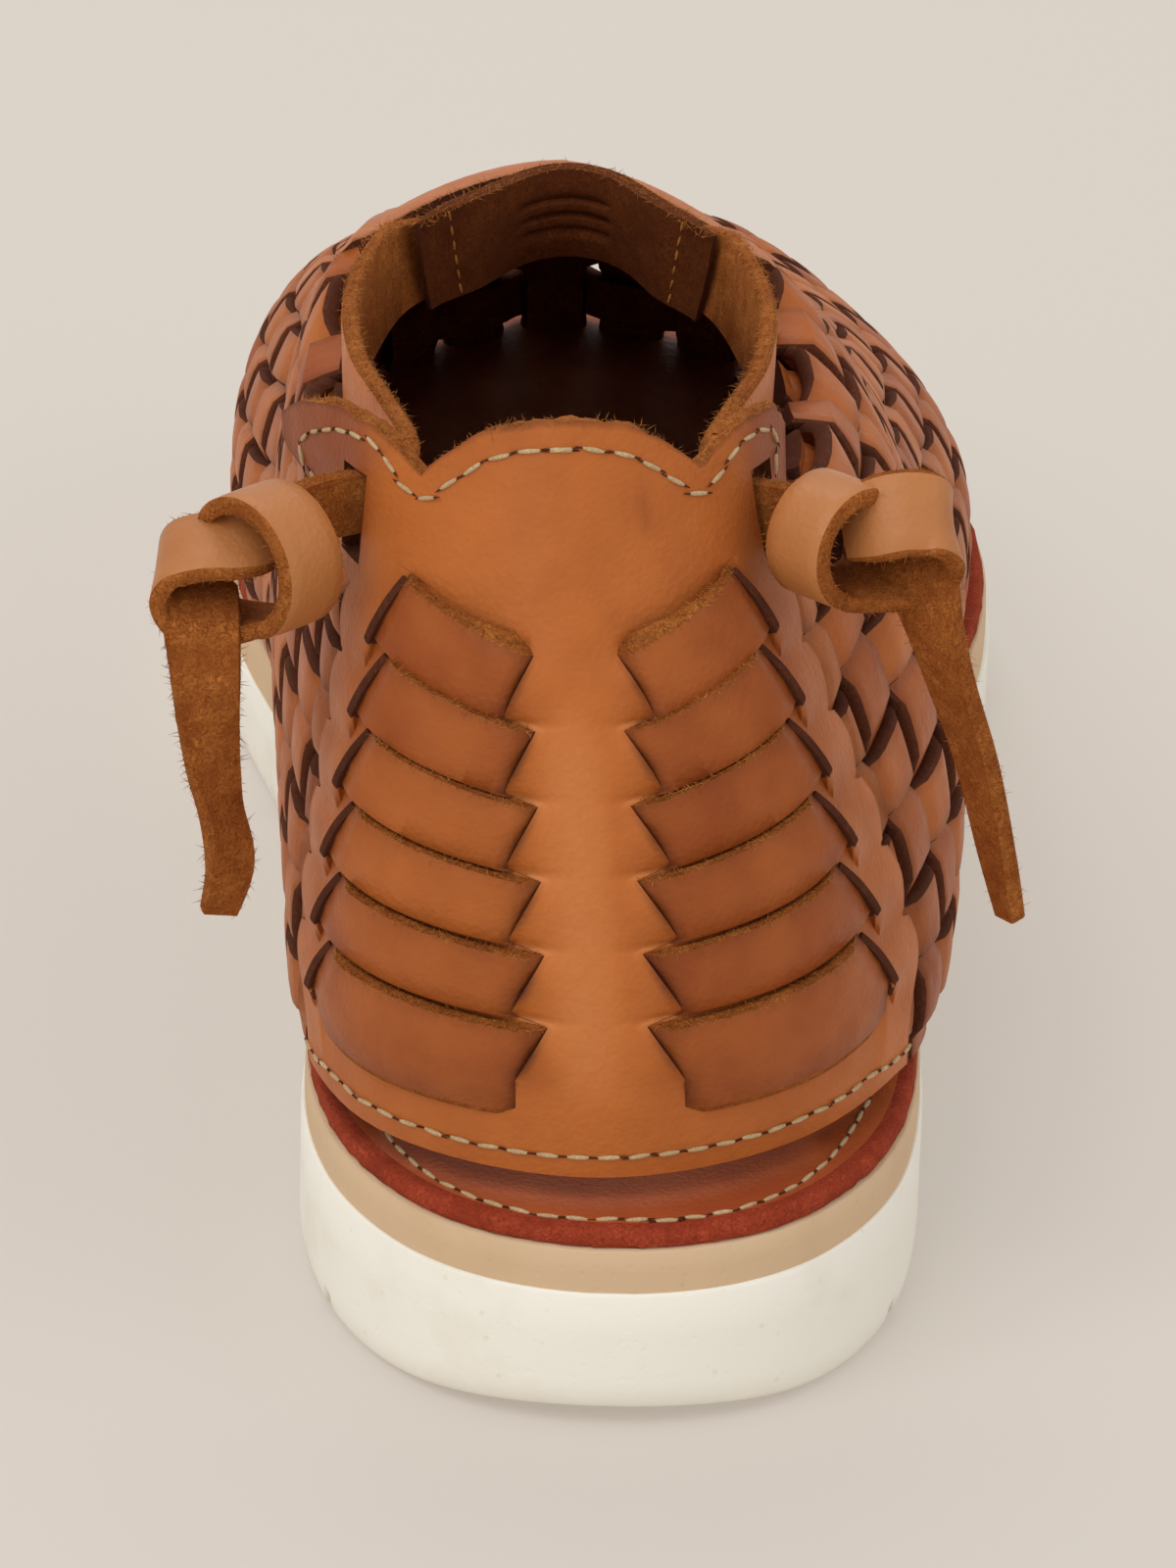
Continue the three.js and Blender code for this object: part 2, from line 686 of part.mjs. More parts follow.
// Half of a counter row above the straps: place, share, raise
function plainRow(over, low, edge) {
  const places = [...SLIT_PLACES, SLIT_IN, SLIT_OUT, mix(SLIT_OUT, edge, 0.5), edge];
  return places.map((reach) => [reach, reach < SLIT_IN ? over : low, 0]);
}

// Top row with a valley beside the heel and a rounded corner at the ear
function topRow(edge) {
  return plainRow(1, 1, edge).map(([reach, share, raise]) => {
    const near = clamp(1 - Math.abs(reach - VALLEY) / VALLEY_WIDE, 0, 1);
    const corner = clamp((reach - SLIT_OUT) / (edge - SLIT_OUT), 0, 1) ** 2;
    return [reach, share - VALLEY_DEEP * near ** VALLEY_POWER - EAR_DROP * corner, raise];
  });
}

// How far an ear stands off the wall; the inner one flares most
function earFlare(t, share) {
  const out = clamp((Math.abs(t) - SLIT_OUT) / EAR_REACH, 0, 1) ** EAR_POWER;
  const rise = smooth((share - SLIT_LOW) / (SLIT_HIGH - SLIT_LOW));
  return (t < 0 ? EAR_FLARE_INNER : EAR_FLARE_OUTER) * out * rise;
}

function makeCounter() {
  const straps = counterRows().map((row) => {
    const half = strapRow(row);
    return { inner: half, outer: half, shift: COUNTER_SHIFT, low: row.low };
  });
  const under = plainRow(SLIT_OVER, SLIT_LOW, SLIT_EDGE);
  const over = plainRow(SLIT_HIGH, SLIT_HIGH, SLIT_EDGE);
  const lobe = plainRow(SLIT_HIGH, SLIT_HIGH, EAR_LOBE);
  const rows = [
    ...straps,
    { inner: under, outer: under, shift: 0, low: SLIT_OVER },
    { inner: lobe, outer: over, shift: 0, low: SLIT_HIGH },
    { inner: topRow(EAR_EDGE + EAR_SKEW), outer: topRow(EAR_EDGE - EAR_SKEW), shift: 0, low: 1 },
  ];
  const outer = [];
  const inner = [];
  let width = 0;
  for (const row of rows) {
    const left = row.inner.map(([reach, share, raise]) => [row.shift - reach, share, raise]).reverse();
    const right = row.outer.map(([reach, share, raise]) => [row.shift + reach, share, raise]);
    const line = [...left, [row.shift, row.low, 0], ...right];
    width = line.length;
    for (const [t, share, raise] of line) {
      const off = COUNTER_OFF + earFlare(t, share);
      const [n, o] = wallOff(t, share, off, off + COUNTER_THICK + raise);
      outer.push(o);
      inner.push(n);
    }
  }
  const quads = [];
  const slitColumns = [2, width - 4];
  for (let r = 0; r < rows.length - 1; r += 1) {
    for (let c = 0; c < width - 1; c += 1) {
      const slit = r === rows.length - 3 && slitColumns.includes(c);
      const a = r * width + c;
      if (!slit) {
        quads.push([a, a + 1, a + width + 1, a + width]);
      }
    }
  }
  return shell("heel_counter", COUNTER_GRAIN, outer, inner, quads);
}

// Band standing across the front of the collar, its lower edge shorter and further forward
function makeSaddle() {
  const outer = [];
  const inner = [];
  const last = SADDLE_RIM.length - 1;
  const rim = (at) => new THREE.Vector3(...tableAt(SADDLE_RIM, clamp(at, 0, last)));
  for (const down of SADDLE_ROWS) {
    for (let i = 0; i <= SADDLE_STEPS; i += 1) {
      const side = (2 * i) / SADDLE_STEPS - 1;
      const at = (last / 2) * (1 + side * (1 - SADDLE_TAPER * down));
      const run = rim(at + RIM_STEP).sub(rim(at - RIM_STEP));
      const out = new THREE.Vector3(run.y, -run.x, 0).normalize();
      const lean = SADDLE_LEAN * down * down * (1 - side * side) ** 2;
      const point = rim(at).addScaledVector(out, lean);
      point.z -= SADDLE_DROP * down;
      outer.push(point.clone().addScaledVector(out, SADDLE_THICK / 2));
      inner.push(point.clone().addScaledVector(out, -SADDLE_THICK / 2));
    }
  }
  const quads = [];
  const width = SADDLE_STEPS + 1;
  for (let r = 0; r < SADDLE_ROWS.length - 1; r += 1) {
    for (let c = 0; c < SADDLE_STEPS; c += 1) {
      const a = r * width + c;
      quads.push([a, a + width, a + width + 1, a + 1]);
    }
  }
  return shell("throat_saddle", SUEDE, outer, inner, quads);
}

// Flat band along a path; each stop has a middle, a width direction and a width
function band(name, material, stops, thick) {
  const outer = [];
  const inner = [];
  stops.forEach((stop, i) => {
    const ahead = stops[Math.min(i + 1, stops.length - 1)].at;
    const behind = stops[Math.max(i - 1, 0)].at;
    const along = ahead.clone().sub(behind).normalize();
    const wide = stop.wide.clone().addScaledVector(along, -stop.wide.dot(along)).normalize();
    const face = along.clone().cross(wide).normalize();
    for (const s of [-0.5, 0.5]) {
      const edge = stop.at.clone().addScaledVector(wide, s * stop.width);
      outer.push(edge.clone().addScaledVector(face, thick / 2));
      inner.push(edge.clone().addScaledVector(face, -thick / 2));
    }
  });
  const quads = [];
  for (let i = 0; i < stops.length - 1; i += 1) {
    const a = 2 * i;
    quads.push([a, a + 2, a + 3, a + 1]);
  }
  return shell(name, material, outer, inner, quads);
}

function path(table, count, side) {
  const stops = [];
  for (let i = 0; i <= count; i += 1) {
    const [reach, y, z, ...rest] = tableAt(table, ((table.length - 1) * i) / count);
    stops.push({ at: new THREE.Vector3(COLLAR_X + side * reach, y, z), rest });
  }
  return stops;
}

function makeStrap(name, side) {
  const stops = path(STRAP_PATH, STRAP_STOPS, side);
  for (const stop of stops) {
    const [lean, width] = stop.rest;
    stop.wide = new THREE.Vector3(side * lean, 0, 1);
    stop.width = width;
  }
  return band(name, SUEDE, stops, STRAP_THICK);
}

// Roll of the tie round an axis that points away from the slit
function makeRoll(name, side, [reach, y, z, radius]) {
  const axis = new THREE.Vector3(side * ROLL_AXIS_X, ROLL_AXIS_Y, 0).normalize();
  const level = new THREE.Vector3(-axis.y, axis.x, 0);
  const stops = [];
  for (let i = 0; i <= ROLL_STEPS; i += 1) {
    const angle = mix(ROLL_FROM, ROLL_TO, i / ROLL_STEPS);
    const at = new THREE.Vector3(COLLAR_X + side * reach, y, z);
    at.addScaledVector(level, side * radius * Math.cos(angle));
    at.z += radius * Math.sin(angle);
    stops.push({ at, wide: axis, width: ROLL_WIDE });
  }
  return band(name, TIE_GRAIN, stops, STRAP_THICK);
}

function makeEnd(name, side, table) {
  const stops = path(table, END_STOPS, side);
  for (const stop of stops) {
    const [wideOut, wideY, wideZ, width] = stop.rest;
    stop.wide = new THREE.Vector3(side * wideOut, wideY, wideZ);
    stop.width = width;
  }
  return band(name, TIE_GRAIN, stops, STRAP_THICK);
}

const group = new THREE.Group();
group.name = "woven_huarache";
group.add(makeOutsole());
group.add(makeMidsole());
group.add(makeInsole());
group.add(makeUpper());
group.add(makeCounter());
group.add(makeSaddle());
group.add(makeStrap("ankle_strap_outer", 1));
group.add(makeStrap("ankle_strap_inner", -1));
group.add(makeRoll("tie_knot_outer", 1, ROLL_OUTER));
group.add(makeRoll("tie_knot_inner", -1, ROLL_INNER));
group.add(makeEnd("tie_end_outer", 1, END_OUTER));
group.add(makeEnd("tie_end_inner", -1, END_INNER));

export default group;
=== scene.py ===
"""Looks of a woven leather huarache for the right foot. Tables and sizes are in millimetres."""

import math

import bmesh
import bpy
import numpy as np
from bpy.props import FloatProperty, FloatVectorProperty, PointerProperty
from mathutils import Matrix, Vector


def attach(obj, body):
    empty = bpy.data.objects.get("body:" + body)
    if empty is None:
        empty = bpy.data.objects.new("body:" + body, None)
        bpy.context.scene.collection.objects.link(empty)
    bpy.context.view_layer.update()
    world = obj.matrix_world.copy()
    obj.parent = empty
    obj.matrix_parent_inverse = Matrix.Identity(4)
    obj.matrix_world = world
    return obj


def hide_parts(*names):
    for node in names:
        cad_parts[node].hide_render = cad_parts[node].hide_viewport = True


bl_info = {
    "name": "Woven Huarache",
    "version": (1, 0, 0),
    "blender": (4, 5, 0),
    "location": "View3D > Sidebar > Huarache",
    "description": "Builds a strap-woven leather shoe with knotted ties on a layered sole",
    "category": "Object",
}

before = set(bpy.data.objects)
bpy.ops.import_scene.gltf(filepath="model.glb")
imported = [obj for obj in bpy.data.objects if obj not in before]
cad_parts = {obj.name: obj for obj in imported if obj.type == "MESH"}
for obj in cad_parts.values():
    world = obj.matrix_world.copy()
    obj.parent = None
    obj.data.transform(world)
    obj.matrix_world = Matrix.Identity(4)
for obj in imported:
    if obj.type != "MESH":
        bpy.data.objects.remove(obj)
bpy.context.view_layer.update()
MM = 0.001
SEED = 7
SIDES = (("outer", 1), ("inner", -1))

# Sole stack
SOLE_HALF = 145
SOLE_END = 144.9
SOLE_WIDE = 45
INSOLE_TOP_HEEL = 26
INSOLE_TOP_BALL = 22.5
INSOLE_THICK = 2.2
MIDSOLE_HEEL = 5.2
MIDSOLE_BALL = 6.6
LAYER_GAP = 0.3
WEDGE_FROM = -60
WEDGE_RUN = 110
SPRING = 7
SPRING_FROM = 55
SPRING_RUN = 90
HEEL_BEVEL = 2.4
HEEL_BEVEL_FROM = -126
MIDSOLE_INSET = 0.6

# Tread
LUG_PITCH = 11
LUG_COUNT = 22
GROOVE = 3.4
GROOVE_DEEP = 1.8
GROOVE_RAMP = 0.7
TREAD_FROM = -119
PADS = ((-112, -84), (30, 58))
EDGE_ROUND = 1.8
EDGE_RISE = 2.6

# Wall and weave
ROUND = 20
SAMPLES = 24
WALL_LIFT = 0.75
COUNTER_LIFT = 2.9
LIFT_END = 2.6
LIFT_RUN = 0.9
LEVEL_SHARE = 0.12
WALL_START = 1.2
TUCK_SHARE = 0.74
TUCK_FROM = 1.7
TUCK_RUN = 1.3
COLUMNS = 46
BANDS = 7
PLUG_START = 4
PLUG_BOW_POWER = 1.3
FOOT_STEPS = 400
STEP_PLACE = 0.01
STEP_SHARE = 0.002
WEAVE_MID = -0.15
WEAVE_SHARP = 2.5
STEPS_PER_CROSSING = 6

# Heel counter
COUNTER_OFF = 0.8
COUNTER_THICK = 2.2
COUNTER_SHIFT = 0.05
VALLEY = 0.86
VALLEY_DEEP = 0.053
VALLEY_WIDE = 0.45
VALLEY_POWER = 1.5
EAR_EDGE = 1.98
EAR_INNER = 0.46
EAR_OUTER = 0.06
EAR_ROUND = 0.55
EAR_DROP = 0.035
EAR_REACH = 0.6
EAR_POWER = 1.5
EAR_FLARE_INNER = 3
EAR_FLARE_OUTER = 1
STRAP_COUNT = 6
HEM_FROM = 0.36
HEM_TO = 1.45
STRAP_TOP_INNER = 0.703
STRAP_PITCH_INNER = 0.0973
STRAP_TALL_INNER = 0.081
STRAP_TOP_OUTER = 0.812
STRAP_PITCH_OUTER = 0.1095
STRAP_TALL_OUTER = 0.096
STRAP_FROM_LOW = 0.365
STRAP_FROM_HIGH = 0.21
STRAP_TO_LOW = 1.09
STRAP_TO_LOW_STEP = 0.078
STRAP_TO_HIGH = 0.89
STRAP_TO_HIGH_STEP = 0.075
STRAP_CLIMB = 1.1
MARGIN_DIP = 0.05
DIP_RATE = 6
SCALLOP = 0.045
SCALLOP_AT = 1.6
SLIT_LOW = 0.796
SLIT_OVER = 0.835
SLIT_HIGH = 0.925
SLIT_FROM = 0.4
SLIT_SIDE = 1.12
SLIT_IN = 1.3
SLIT_OUT = 1.56
SLIT_EDGE = 1.72
SLIT_STOPS = [2 + (place - SLIT_SIDE) / (SLIT_EDGE - SLIT_SIDE) for place in (SLIT_IN, SLIT_OUT)]

# Collar and ties
COLLAR_X = -8.5
SADDLE_DROP = 13
SADDLE_LEAN = 3
SADDLE_TAPER = 0.16
SADDLE_THICK = 2.2

# Plan of the sole, heel to toe: y, inner edge, outer edge
SOLE_PLAN = np.array([
    (-145, 0, 0),
    (-140, -18, 18),
    (-130, -28, 28),
    (-115, -35, 35),
    (-95, -38, 38),
    (-60, -36.5, 38.5),
    (-20, -37, 41),
    (20, -44, 47),
    (52, -51.5, 52.8),
    (78, -53.5, 52.8),
    (104, -49.5, 45),
    (121, -40.5, 35),
    (137, -26, 20),
    (145, -6, -6),
], float)

# Wall sections: foot x y, lower handle x y z, upper handle x y z, top x y z
HEEL_BACK = (-3, -134.5, -1, -4.5, 28, 0, -6, -26, -8.5, -121.5, 119.2)
OUTER_SECTIONS = (
    (20, -124, 4, -4, 28, 2.5, -4, -26, 7, -115, 116),
    (35, -98, 3, 0, 28, -1.5, 0, -26, 16.5, -96, 113.3),
    (40, -66, 4, 0, 24, 16.5, 0, -12, 20.5, -60, 97),
    (40, -30, 5.5, 0, 26, 15.5, 0, -14, 16.5, -27, 100.5),
    (42.5, 10, 6.5, 0, 24, 17, 0, -13, 13, 8, 90),
    (45.5, 40, 6, 0, 19, 23, 0, -12, 12.5, 38, 77),
    (47, 68, 4, 1, 19, 25, 2, -11, 9, 62, 69),
    (40, 99, 3.5, 3.5, 16, 20, 11, -7, 4, 80, 63.5),
    (23, 123, 3, 4.5, 17, 17, 22, -5, -2, 87.5, 62),
)
TOE_TIP = (-6, 135.5, 0, 5, 17, 0, 27, -4, -7.5, 90, 61.5)
INNER_SECTIONS = (
    (-26, -124, -4, -4, 28, -2, -4, -26, -24.3, -115, 114.3),
    (-36, -98, -3, 0, 28, 4.5, 0, -26, -35, -96, 112.4),
    (-38, -66, -3.5, 0, 24, -3.5, 0, -12, -37, -60, 97),
    (-38, -30, -7, 0, 27, -9.5, 0, -9, -33, -27, 102),
    (-41.5, 10, -8.5, 0, 26, -6, 0, -8, -29, 8, 93),
    (-46, 40, -8.5, 0, 22, -9.5, 0, -6, -31, 38, 80),
    (-48, 70, -6, 1, 22, -14.5, 2, -5, -29, 62, 70.5),
    (-43, 102, -4.5, 3.5, 18, -19, 12, -5, -21.5, 80, 64),
    (-29, 124, -3, 4.5, 17, -13, 22, -5, -13.5, 87.5, 62.2),
)
SECTIONS = np.array([HEEL_BACK, *OUTER_SECTIONS, TOE_TIP, *INNER_SECTIONS[::-1]], float)

# Front edge of the heel counter: share of the wall's height, place
COUNTER_FRONT = np.array([
    (0, 1.72),
    (0.15, 1.8),
    (0.4, 1.67),
    (0.77, 1.43),
    (0.8, SLIT_EDGE),
    (0.93, SLIT_EDGE),
    (1, EAR_EDGE),
])

# Vamp plug sections from throat to toe: crown, forward bow, squareness
PLUG_SECTIONS = np.array([
    (5.6, 15, 2.2),
    (6, 2, 2.2),
    (4.5, 0, 2),
    (3.5, 0, 2),
    (2.2, 0, 2),
    (1, 0, 2),
    (0, 0, 2),
], float)

# Upper edge of the throat saddle from the outer to the inner side: x, y, z
SADDLE_RIM = np.array([
    (10.2, -33, 107.5),
    (7, -27.6, 108),
    (3, -22.2, 108.5),
    (-1.5, -16.8, 109.2),
    (-6.3, -14.4, 109.5),
    (-11.4, -15.9, 109.4),
    (-17.3, -21.2, 108.8),
    (-22.4, -26.2, 108.2),
    (-25.6, -31, 107.5),
], float)

# Ankle strap from saddle through slit to roll: distance from the collar's middle, y, z, lean, width
STRAP_PATH = np.array([
    (17.4, -24.5, 100.4, 0.1, 10.4),
    (20.7, -31, 101.2, 0.1, 12),
    (23.2, -41, 101.5, 0.1, 12.5),
    (25.2, -57, 101.5, 0.05, 12.5),
    (24.2, -74, 101.5, 0, 12.5),
    (20.6, -88, 101.8, 0, 12),
    (18, -98, 102.8, 0, 10),
    (17.4, -104, 103.5, 0, 8),
    (18.9, -108.2, 103.6, 0, 7.2),
    (22.6, -110.2, 103.6, 0, 7.6),
    (27.6, -112.5, 103.5, 0, 8),
    (32.4, -116.3, 103.3, 0, 7.2),
], float)

# Rolls of the ties: distance from the collar's middle, y, z, radius
ROLLS = {
    "outer": (32, -118.6, 103.6, 6.3),
    "inner": (33.8, -118.6, 99.4, 7.6),
}
ROLL_AXIS = (0.7, -0.71)
ROLL_WIDE = 9
ROLL_FROM = 4.6
ROLL_TO = 0.3
ROLL_STEPS = 8

# Ties before the roll and after it: distance from the collar's middle, y, z,
# width direction outward, y, z, width
TIE_STARTS = {
    "outer": (
        (33.4, -118.6, 105, -0.1, 0.5, 0.85, 8),
        (36.5, -120.6, 107, -0.15, 0.6, 0.78, 10),
        (40, -121, 108, -0.15, 0.6, 0.78, 10.2),
        (43.3, -120.6, 107.4, -0.15, 0.6, 0.75, 10.2),
        (44.7, -119.6, 104.6, -0.2, 0.65, 0.7, 10),
        (43.4, -118.2, 101, -0.3, 0.7, 0.6, 9.6),
        (39.6, -117.4, 98.6, -0.5, 0.75, 0.3, 10),
    ),
    "inner": (
        (33.6, -117.4, 102.4, 0, 0.6, 0.75, 8),
        (37, -119.5, 101.8, 0, 0.85, 0.5, 9.5),
        (41, -119.8, 101.4, 0, 0.92, 0.39, 10),
        (44.4, -119.4, 100, -0.05, 0.92, 0.39, 10.2),
        (45.4, -119, 96.8, -0.1, 0.92, 0.35, 10.2),
        (43.2, -118.5, 93, -0.3, 0.9, 0.25, 10),
        (39, -118, 91.2, -0.6, 0.8, 0.1, 9.6),
    ),
}
TIE_TAILS = {
    "outer": (
        (40, -115.6, 102, -0.75, 0.66, 0, 9),
        (42.2, -119.8, 99.2, -0.8, 0.6, -0.1, 9.2),
        (43.6, -121.6, 94.5, -0.68, 0.73, -0.1, 9),
        (45.9, -121, 87, -0.6, 0.8, -0.1, 8),
        (49.5, -119, 76, -0.55, 0.83, -0.1, 7),
        (52.6, -117, 63, -0.55, 0.83, -0.1, 5.6),
        (54.6, -116, 54.5, -0.6, 0.8, 0, 3.4),
    ),
    "inner": (
        (41.6, -115.6, 96.4, -0.8, 0.6, 0, 9),
        (41.2, -121, 94, -0.97, 0.2, 0, 9.2),
        (40.6, -124, 89, -1, 0.05, 0, 8.4),
        (40.2, -123.6, 82, -0.95, 0.3, 0, 7.4),
        (39.6, -122.2, 75, -0.85, 0.5, 0, 6.6),
        (38.6, -121, 68, -0.6, 0.8, 0, 6.2),
        (37.6, -120, 61, -0.9, 0.4, 0, 5.8),
        (38.9, -119, 54.5, -0.95, 0.2, 0.3, 4.4),
    ),
}

# Cross-section of a cut strap: share across, share of the thickness
STRAP_PROFILE = np.array([
    (-0.9, 1),
    (-0.5, 1.08),
    (0, 1.1),
    (0.5, 1.08),
    (0.9, 1),
    (1, 0.55),
    (1, -0.55),
    (0.93, -1),
    (0, -1),
    (-0.93, -1),
    (-1, -0.55),
    (-1, 0.55),
])
# The same for the counter's straps, whose upper edge is skived
COUNTER_PROFILE = STRAP_PROFILE.copy()
COUNTER_PROFILE[4:7] = ((0.8, 1), (0.94, 0.5), (1.06, -0.5))
GRAIN, EDGE, FLESH = 0, 1, 2
STRAP_FINISH = (GRAIN,) * 4 + (EDGE,) * 3 + (FLESH,) * 2 + (EDGE,) * 3
NAPPED_FINISH = (GRAIN,) * 4 + (FLESH,) * 8
CUT_FINISH = (EDGE,) * 12
PROFILE_BURNISH = np.array([0.7, 0.1, 0, 0.1, 0.7, 1, 1, 0, 0, 0, 1, 1])

LEATHERS = ("strap_grain", "raw_edge", "flesh_side")
SHARP_ANGLE = 48
BUMP_STRENGTH = 0.7
COAT_ROUGH = 0.3
THREAD_LIFT = 0.1
THREAD_LEAN = 0.1
FIBRE_SHORTEST = 0.35

# Lines that pieces leave for the fibres, the stitches and the fine stitches
NAP_LINES = []
THREAD_LINES = []
FINE_LINES = []


def smooth(value):
    w = np.clip(value, 0, 1)
    return w * w * (3 - 2 * w)


def mix(a, b, w):
    return a + (b - a) * w


def bell(value, middle, wide):
    return np.exp(-(((value - middle) / wide) ** 2))


def window(value, low, high, run):
    return smooth((value - low) / run) * smooth((high - value) / run)


def unit(v):
    return v / np.linalg.norm(v, axis=-1, keepdims=True)


def spline(p0, p1, p2, p3, f):
    """Curve through p1 and p2 that heads for their neighbours."""
    square = (2 * p0 - 5 * p1 + 4 * p2 - p3) * f**2
    cube = (3 * p1 - p0 - 3 * p2 + p3) * f**3
    return 0.5 * (2 * p1 + (p2 - p0) * f + square + cube)


def table_at(table, at):
    """Every column of an open table at fractional rows."""
    table = np.asarray(table, float)
    last = len(table) - 1
    i = np.clip(np.floor(at).astype(int), 0, last - 1)
    rows = [table[np.clip(i + k, 0, last)] for k in (-1, 0, 1, 2)]
    return spline(*rows, (at - i)[..., None])


def run_of(points):
    """Distance along a line at each of its points."""
    steps = np.linalg.norm(np.diff(points, axis=0), axis=1)
    return np.concatenate([[0], np.cumsum(steps)])


# Sole heights along y
def rocker(y):
    s = np.maximum(0, (y - SPRING_FROM) / SPRING_RUN)
    return SPRING * s * s


def wedge(y):
    return smooth((y - WEDGE_FROM) / WEDGE_RUN)


def insole_top(y):
    return mix(INSOLE_TOP_HEEL, INSOLE_TOP_BALL, wedge(y)) + rocker(y)


def midsole_top(y):
    return insole_top(y) - INSOLE_THICK - LAYER_GAP


def outsole_top(y):
    return midsole_top(y) - mix(MIDSOLE_HEEL, MIDSOLE_BALL, wedge(y)) - LAYER_GAP


def tread_floor(y):
    bevel = np.maximum(0, (HEEL_BEVEL_FROM - y) / (SOLE_HALF + HEEL_BEVEL_FROM))
    return rocker(y) + HEEL_BEVEL * bevel * bevel


def groove(y):
    """Depth of the tread's grooves."""
    deep = np.zeros_like(y)
    for i in range(LUG_COUNT):
        start = TREAD_FROM + i * LUG_PITCH
        if any(low < start < high for low, high in PADS):
            continue
        ramp = np.minimum(y - start, start + GROOVE - y) / GROOVE_RAMP
        deep = np.maximum(deep, GROOVE_DEEP * np.clip(ramp, 0, 1))
    return deep


def sole_edge(y, column):
    """Edge of the sole on one side, read along an angle so that heel and toe stay round."""
    angles = np.arccos(np.clip(-SOLE_PLAN[:, 0] / SOLE_HALF, -1, 1))
    values = SOLE_PLAN[:, column]
    slopes = np.gradient(values)
    spans = np.concatenate([[angles[1] - angles[0]], angles[2:] - angles[:-2], [angles[-1] - angles[-2]]])
    spans[1:-1] /= 2
    slopes = slopes / spans
    a = np.arccos(np.clip(-y / SOLE_HALF, -1, 1))
    i = np.clip(np.searchsorted(angles, a) - 1, 0, len(angles) - 2)
    run = angles[i + 1] - angles[i]
    f = (a - angles[i]) / run
    rise = f * (1 - f) ** 2 * slopes[i] + f * f * (f - 1) * slopes[i + 1]
    return mix(values[i], values[i + 1], smooth(f)) + run * rise


def sole_ring(y, inset, z):
    """Loop round the sole drawn in by a margin: outer side to the toe, inner side back."""
    inner, outer = sole_edge(y, 1), sole_edge(y, 2)
    middle = (inner + outer) / 2
    half = (outer - inner) / 2 * (1 - inset / SOLE_WIDE)
    along = y * (1 - inset / SOLE_HALF)
    right = np.stack([middle + half, along, z], -1)
    left = np.stack([middle - half, along, z], -1)
    return np.concatenate([right, left[::-1]])


# Wall of the foot: place 0 is the heel, 10 the toe tip; share runs from foot to top
def wall_handles(t):
    at = np.mod(t, ROUND)
    i = np.floor(at).astype(int)
    rows = [SECTIONS[(i + k) % ROUND] for k in (-1, 0, 1, 2)]
    r = spline(*rows, (at - i)[..., None])
    near = np.minimum(at, ROUND - at)
    lift = WALL_LIFT + COUNTER_LIFT * np.clip((LIFT_END - near) / LIFT_RUN, 0, 1)
    foot = np.stack([r[..., 0], r[..., 1], insole_top(r[..., 1]) + lift], -1)
    top = r[..., 8:11]
    return foot, foot + r[..., 2:5], top + r[..., 5:8], top


def bezier(handles, u):
    a, b, c, d = handles
    v = 1 - u
    return v**3 * a + 3 * v * v * u * b + 3 * v * u * u * c + u**3 * d


def wall_point(t, share):
    t, share = np.broadcast_arrays(np.asarray(t, float), np.clip(share, 0, 1))
    handles = wall_handles(t.ravel())
    steps = np.linspace(0, 1, SAMPLES + 1)[None, :, None]
    points = bezier([h[:, None] for h in handles], steps)
    lengths = np.linalg.norm(np.diff(points, axis=1), axis=2)
    run = np.concatenate([np.zeros((len(lengths), 1)), np.cumsum(lengths, axis=1)], axis=1)
    want = share.ravel() * run[:, -1]
    k = np.clip((run < want[:, None]).sum(1) - 1, 0, SAMPLES - 1)
    row = np.arange(len(want))
    u = (k + (want - run[row, k]) / lengths[row, k]) / SAMPLES
    return bezier(handles, u[:, None]).reshape(*t.shape, 3)


def wall_off(t, share, off):
    """Point off the wall by a distance along its outward normal."""
    along = wall_point(t + STEP_PLACE, share) - wall_point(t - STEP_PLACE, share)
    up = wall_point(t, share + STEP_SHARE) - wall_point(t, share - STEP_SHARE)
    normal = unit(np.cross(along, up))
    normal[..., 2] *= smooth(np.broadcast_to(share, normal.shape[:-1]) / LEVEL_SHARE)
    return wall_point(t, share) + unit(normal) * np.asarray(off, float)[..., None]


PLACES = np.linspace(WALL_START, ROUND - WALL_START, FOOT_STEPS + 1)
FOOT_RUN = run_of(wall_handles(PLACES)[0])


def place_at(column):
    """Place round the shoe of a column of the weave."""
    return np.interp(column / COLUMNS * FOOT_RUN[-1], FOOT_RUN, PLACES)


def column_at(t):
    return np.interp(t, PLACES, FOOT_RUN) / FOOT_RUN[-1] * COLUMNS


def wall_top(t):
    """Share of the wall's height that is left where it tucks in under the counter."""
    return mix(TUCK_SHARE, 1, smooth((np.minimum(t, ROUND - t) - TUCK_FROM) / TUCK_RUN))


def front_at(share):
    return np.interp(share, *COUNTER_FRONT.T)


def plug_point(t, across):
    """Point of the vamp plug between the outer and the inner wall top."""
    t, across = np.broadcast_arrays(t, across)
    crown, bow, square = np.moveaxis(table_at(PLUG_SECTIONS, t - PLUG_START), -1, 0)
    spread = np.abs(2 * across - 1)
    point = mix(wall_point(t, 1), wall_point(ROUND - t, 1), across[..., None])
    ahead = bow * (1 - spread**PLUG_BOW_POWER)
    lift = np.stack([np.zeros_like(ahead), ahead, crown * (1 - spread**square)], -1)
    return point + lift


def plug_off(t, across, off):
    step = 2 * STEP_PLACE
    side = plug_point(t, across + step) - plug_point(t, across - step)
    along = plug_point(t + step, across) - plug_point(t - step, across)
    normal = unit(np.cross(along, side))
    return plug_point(t, across) + normal * np.asarray(off, float)[..., None]


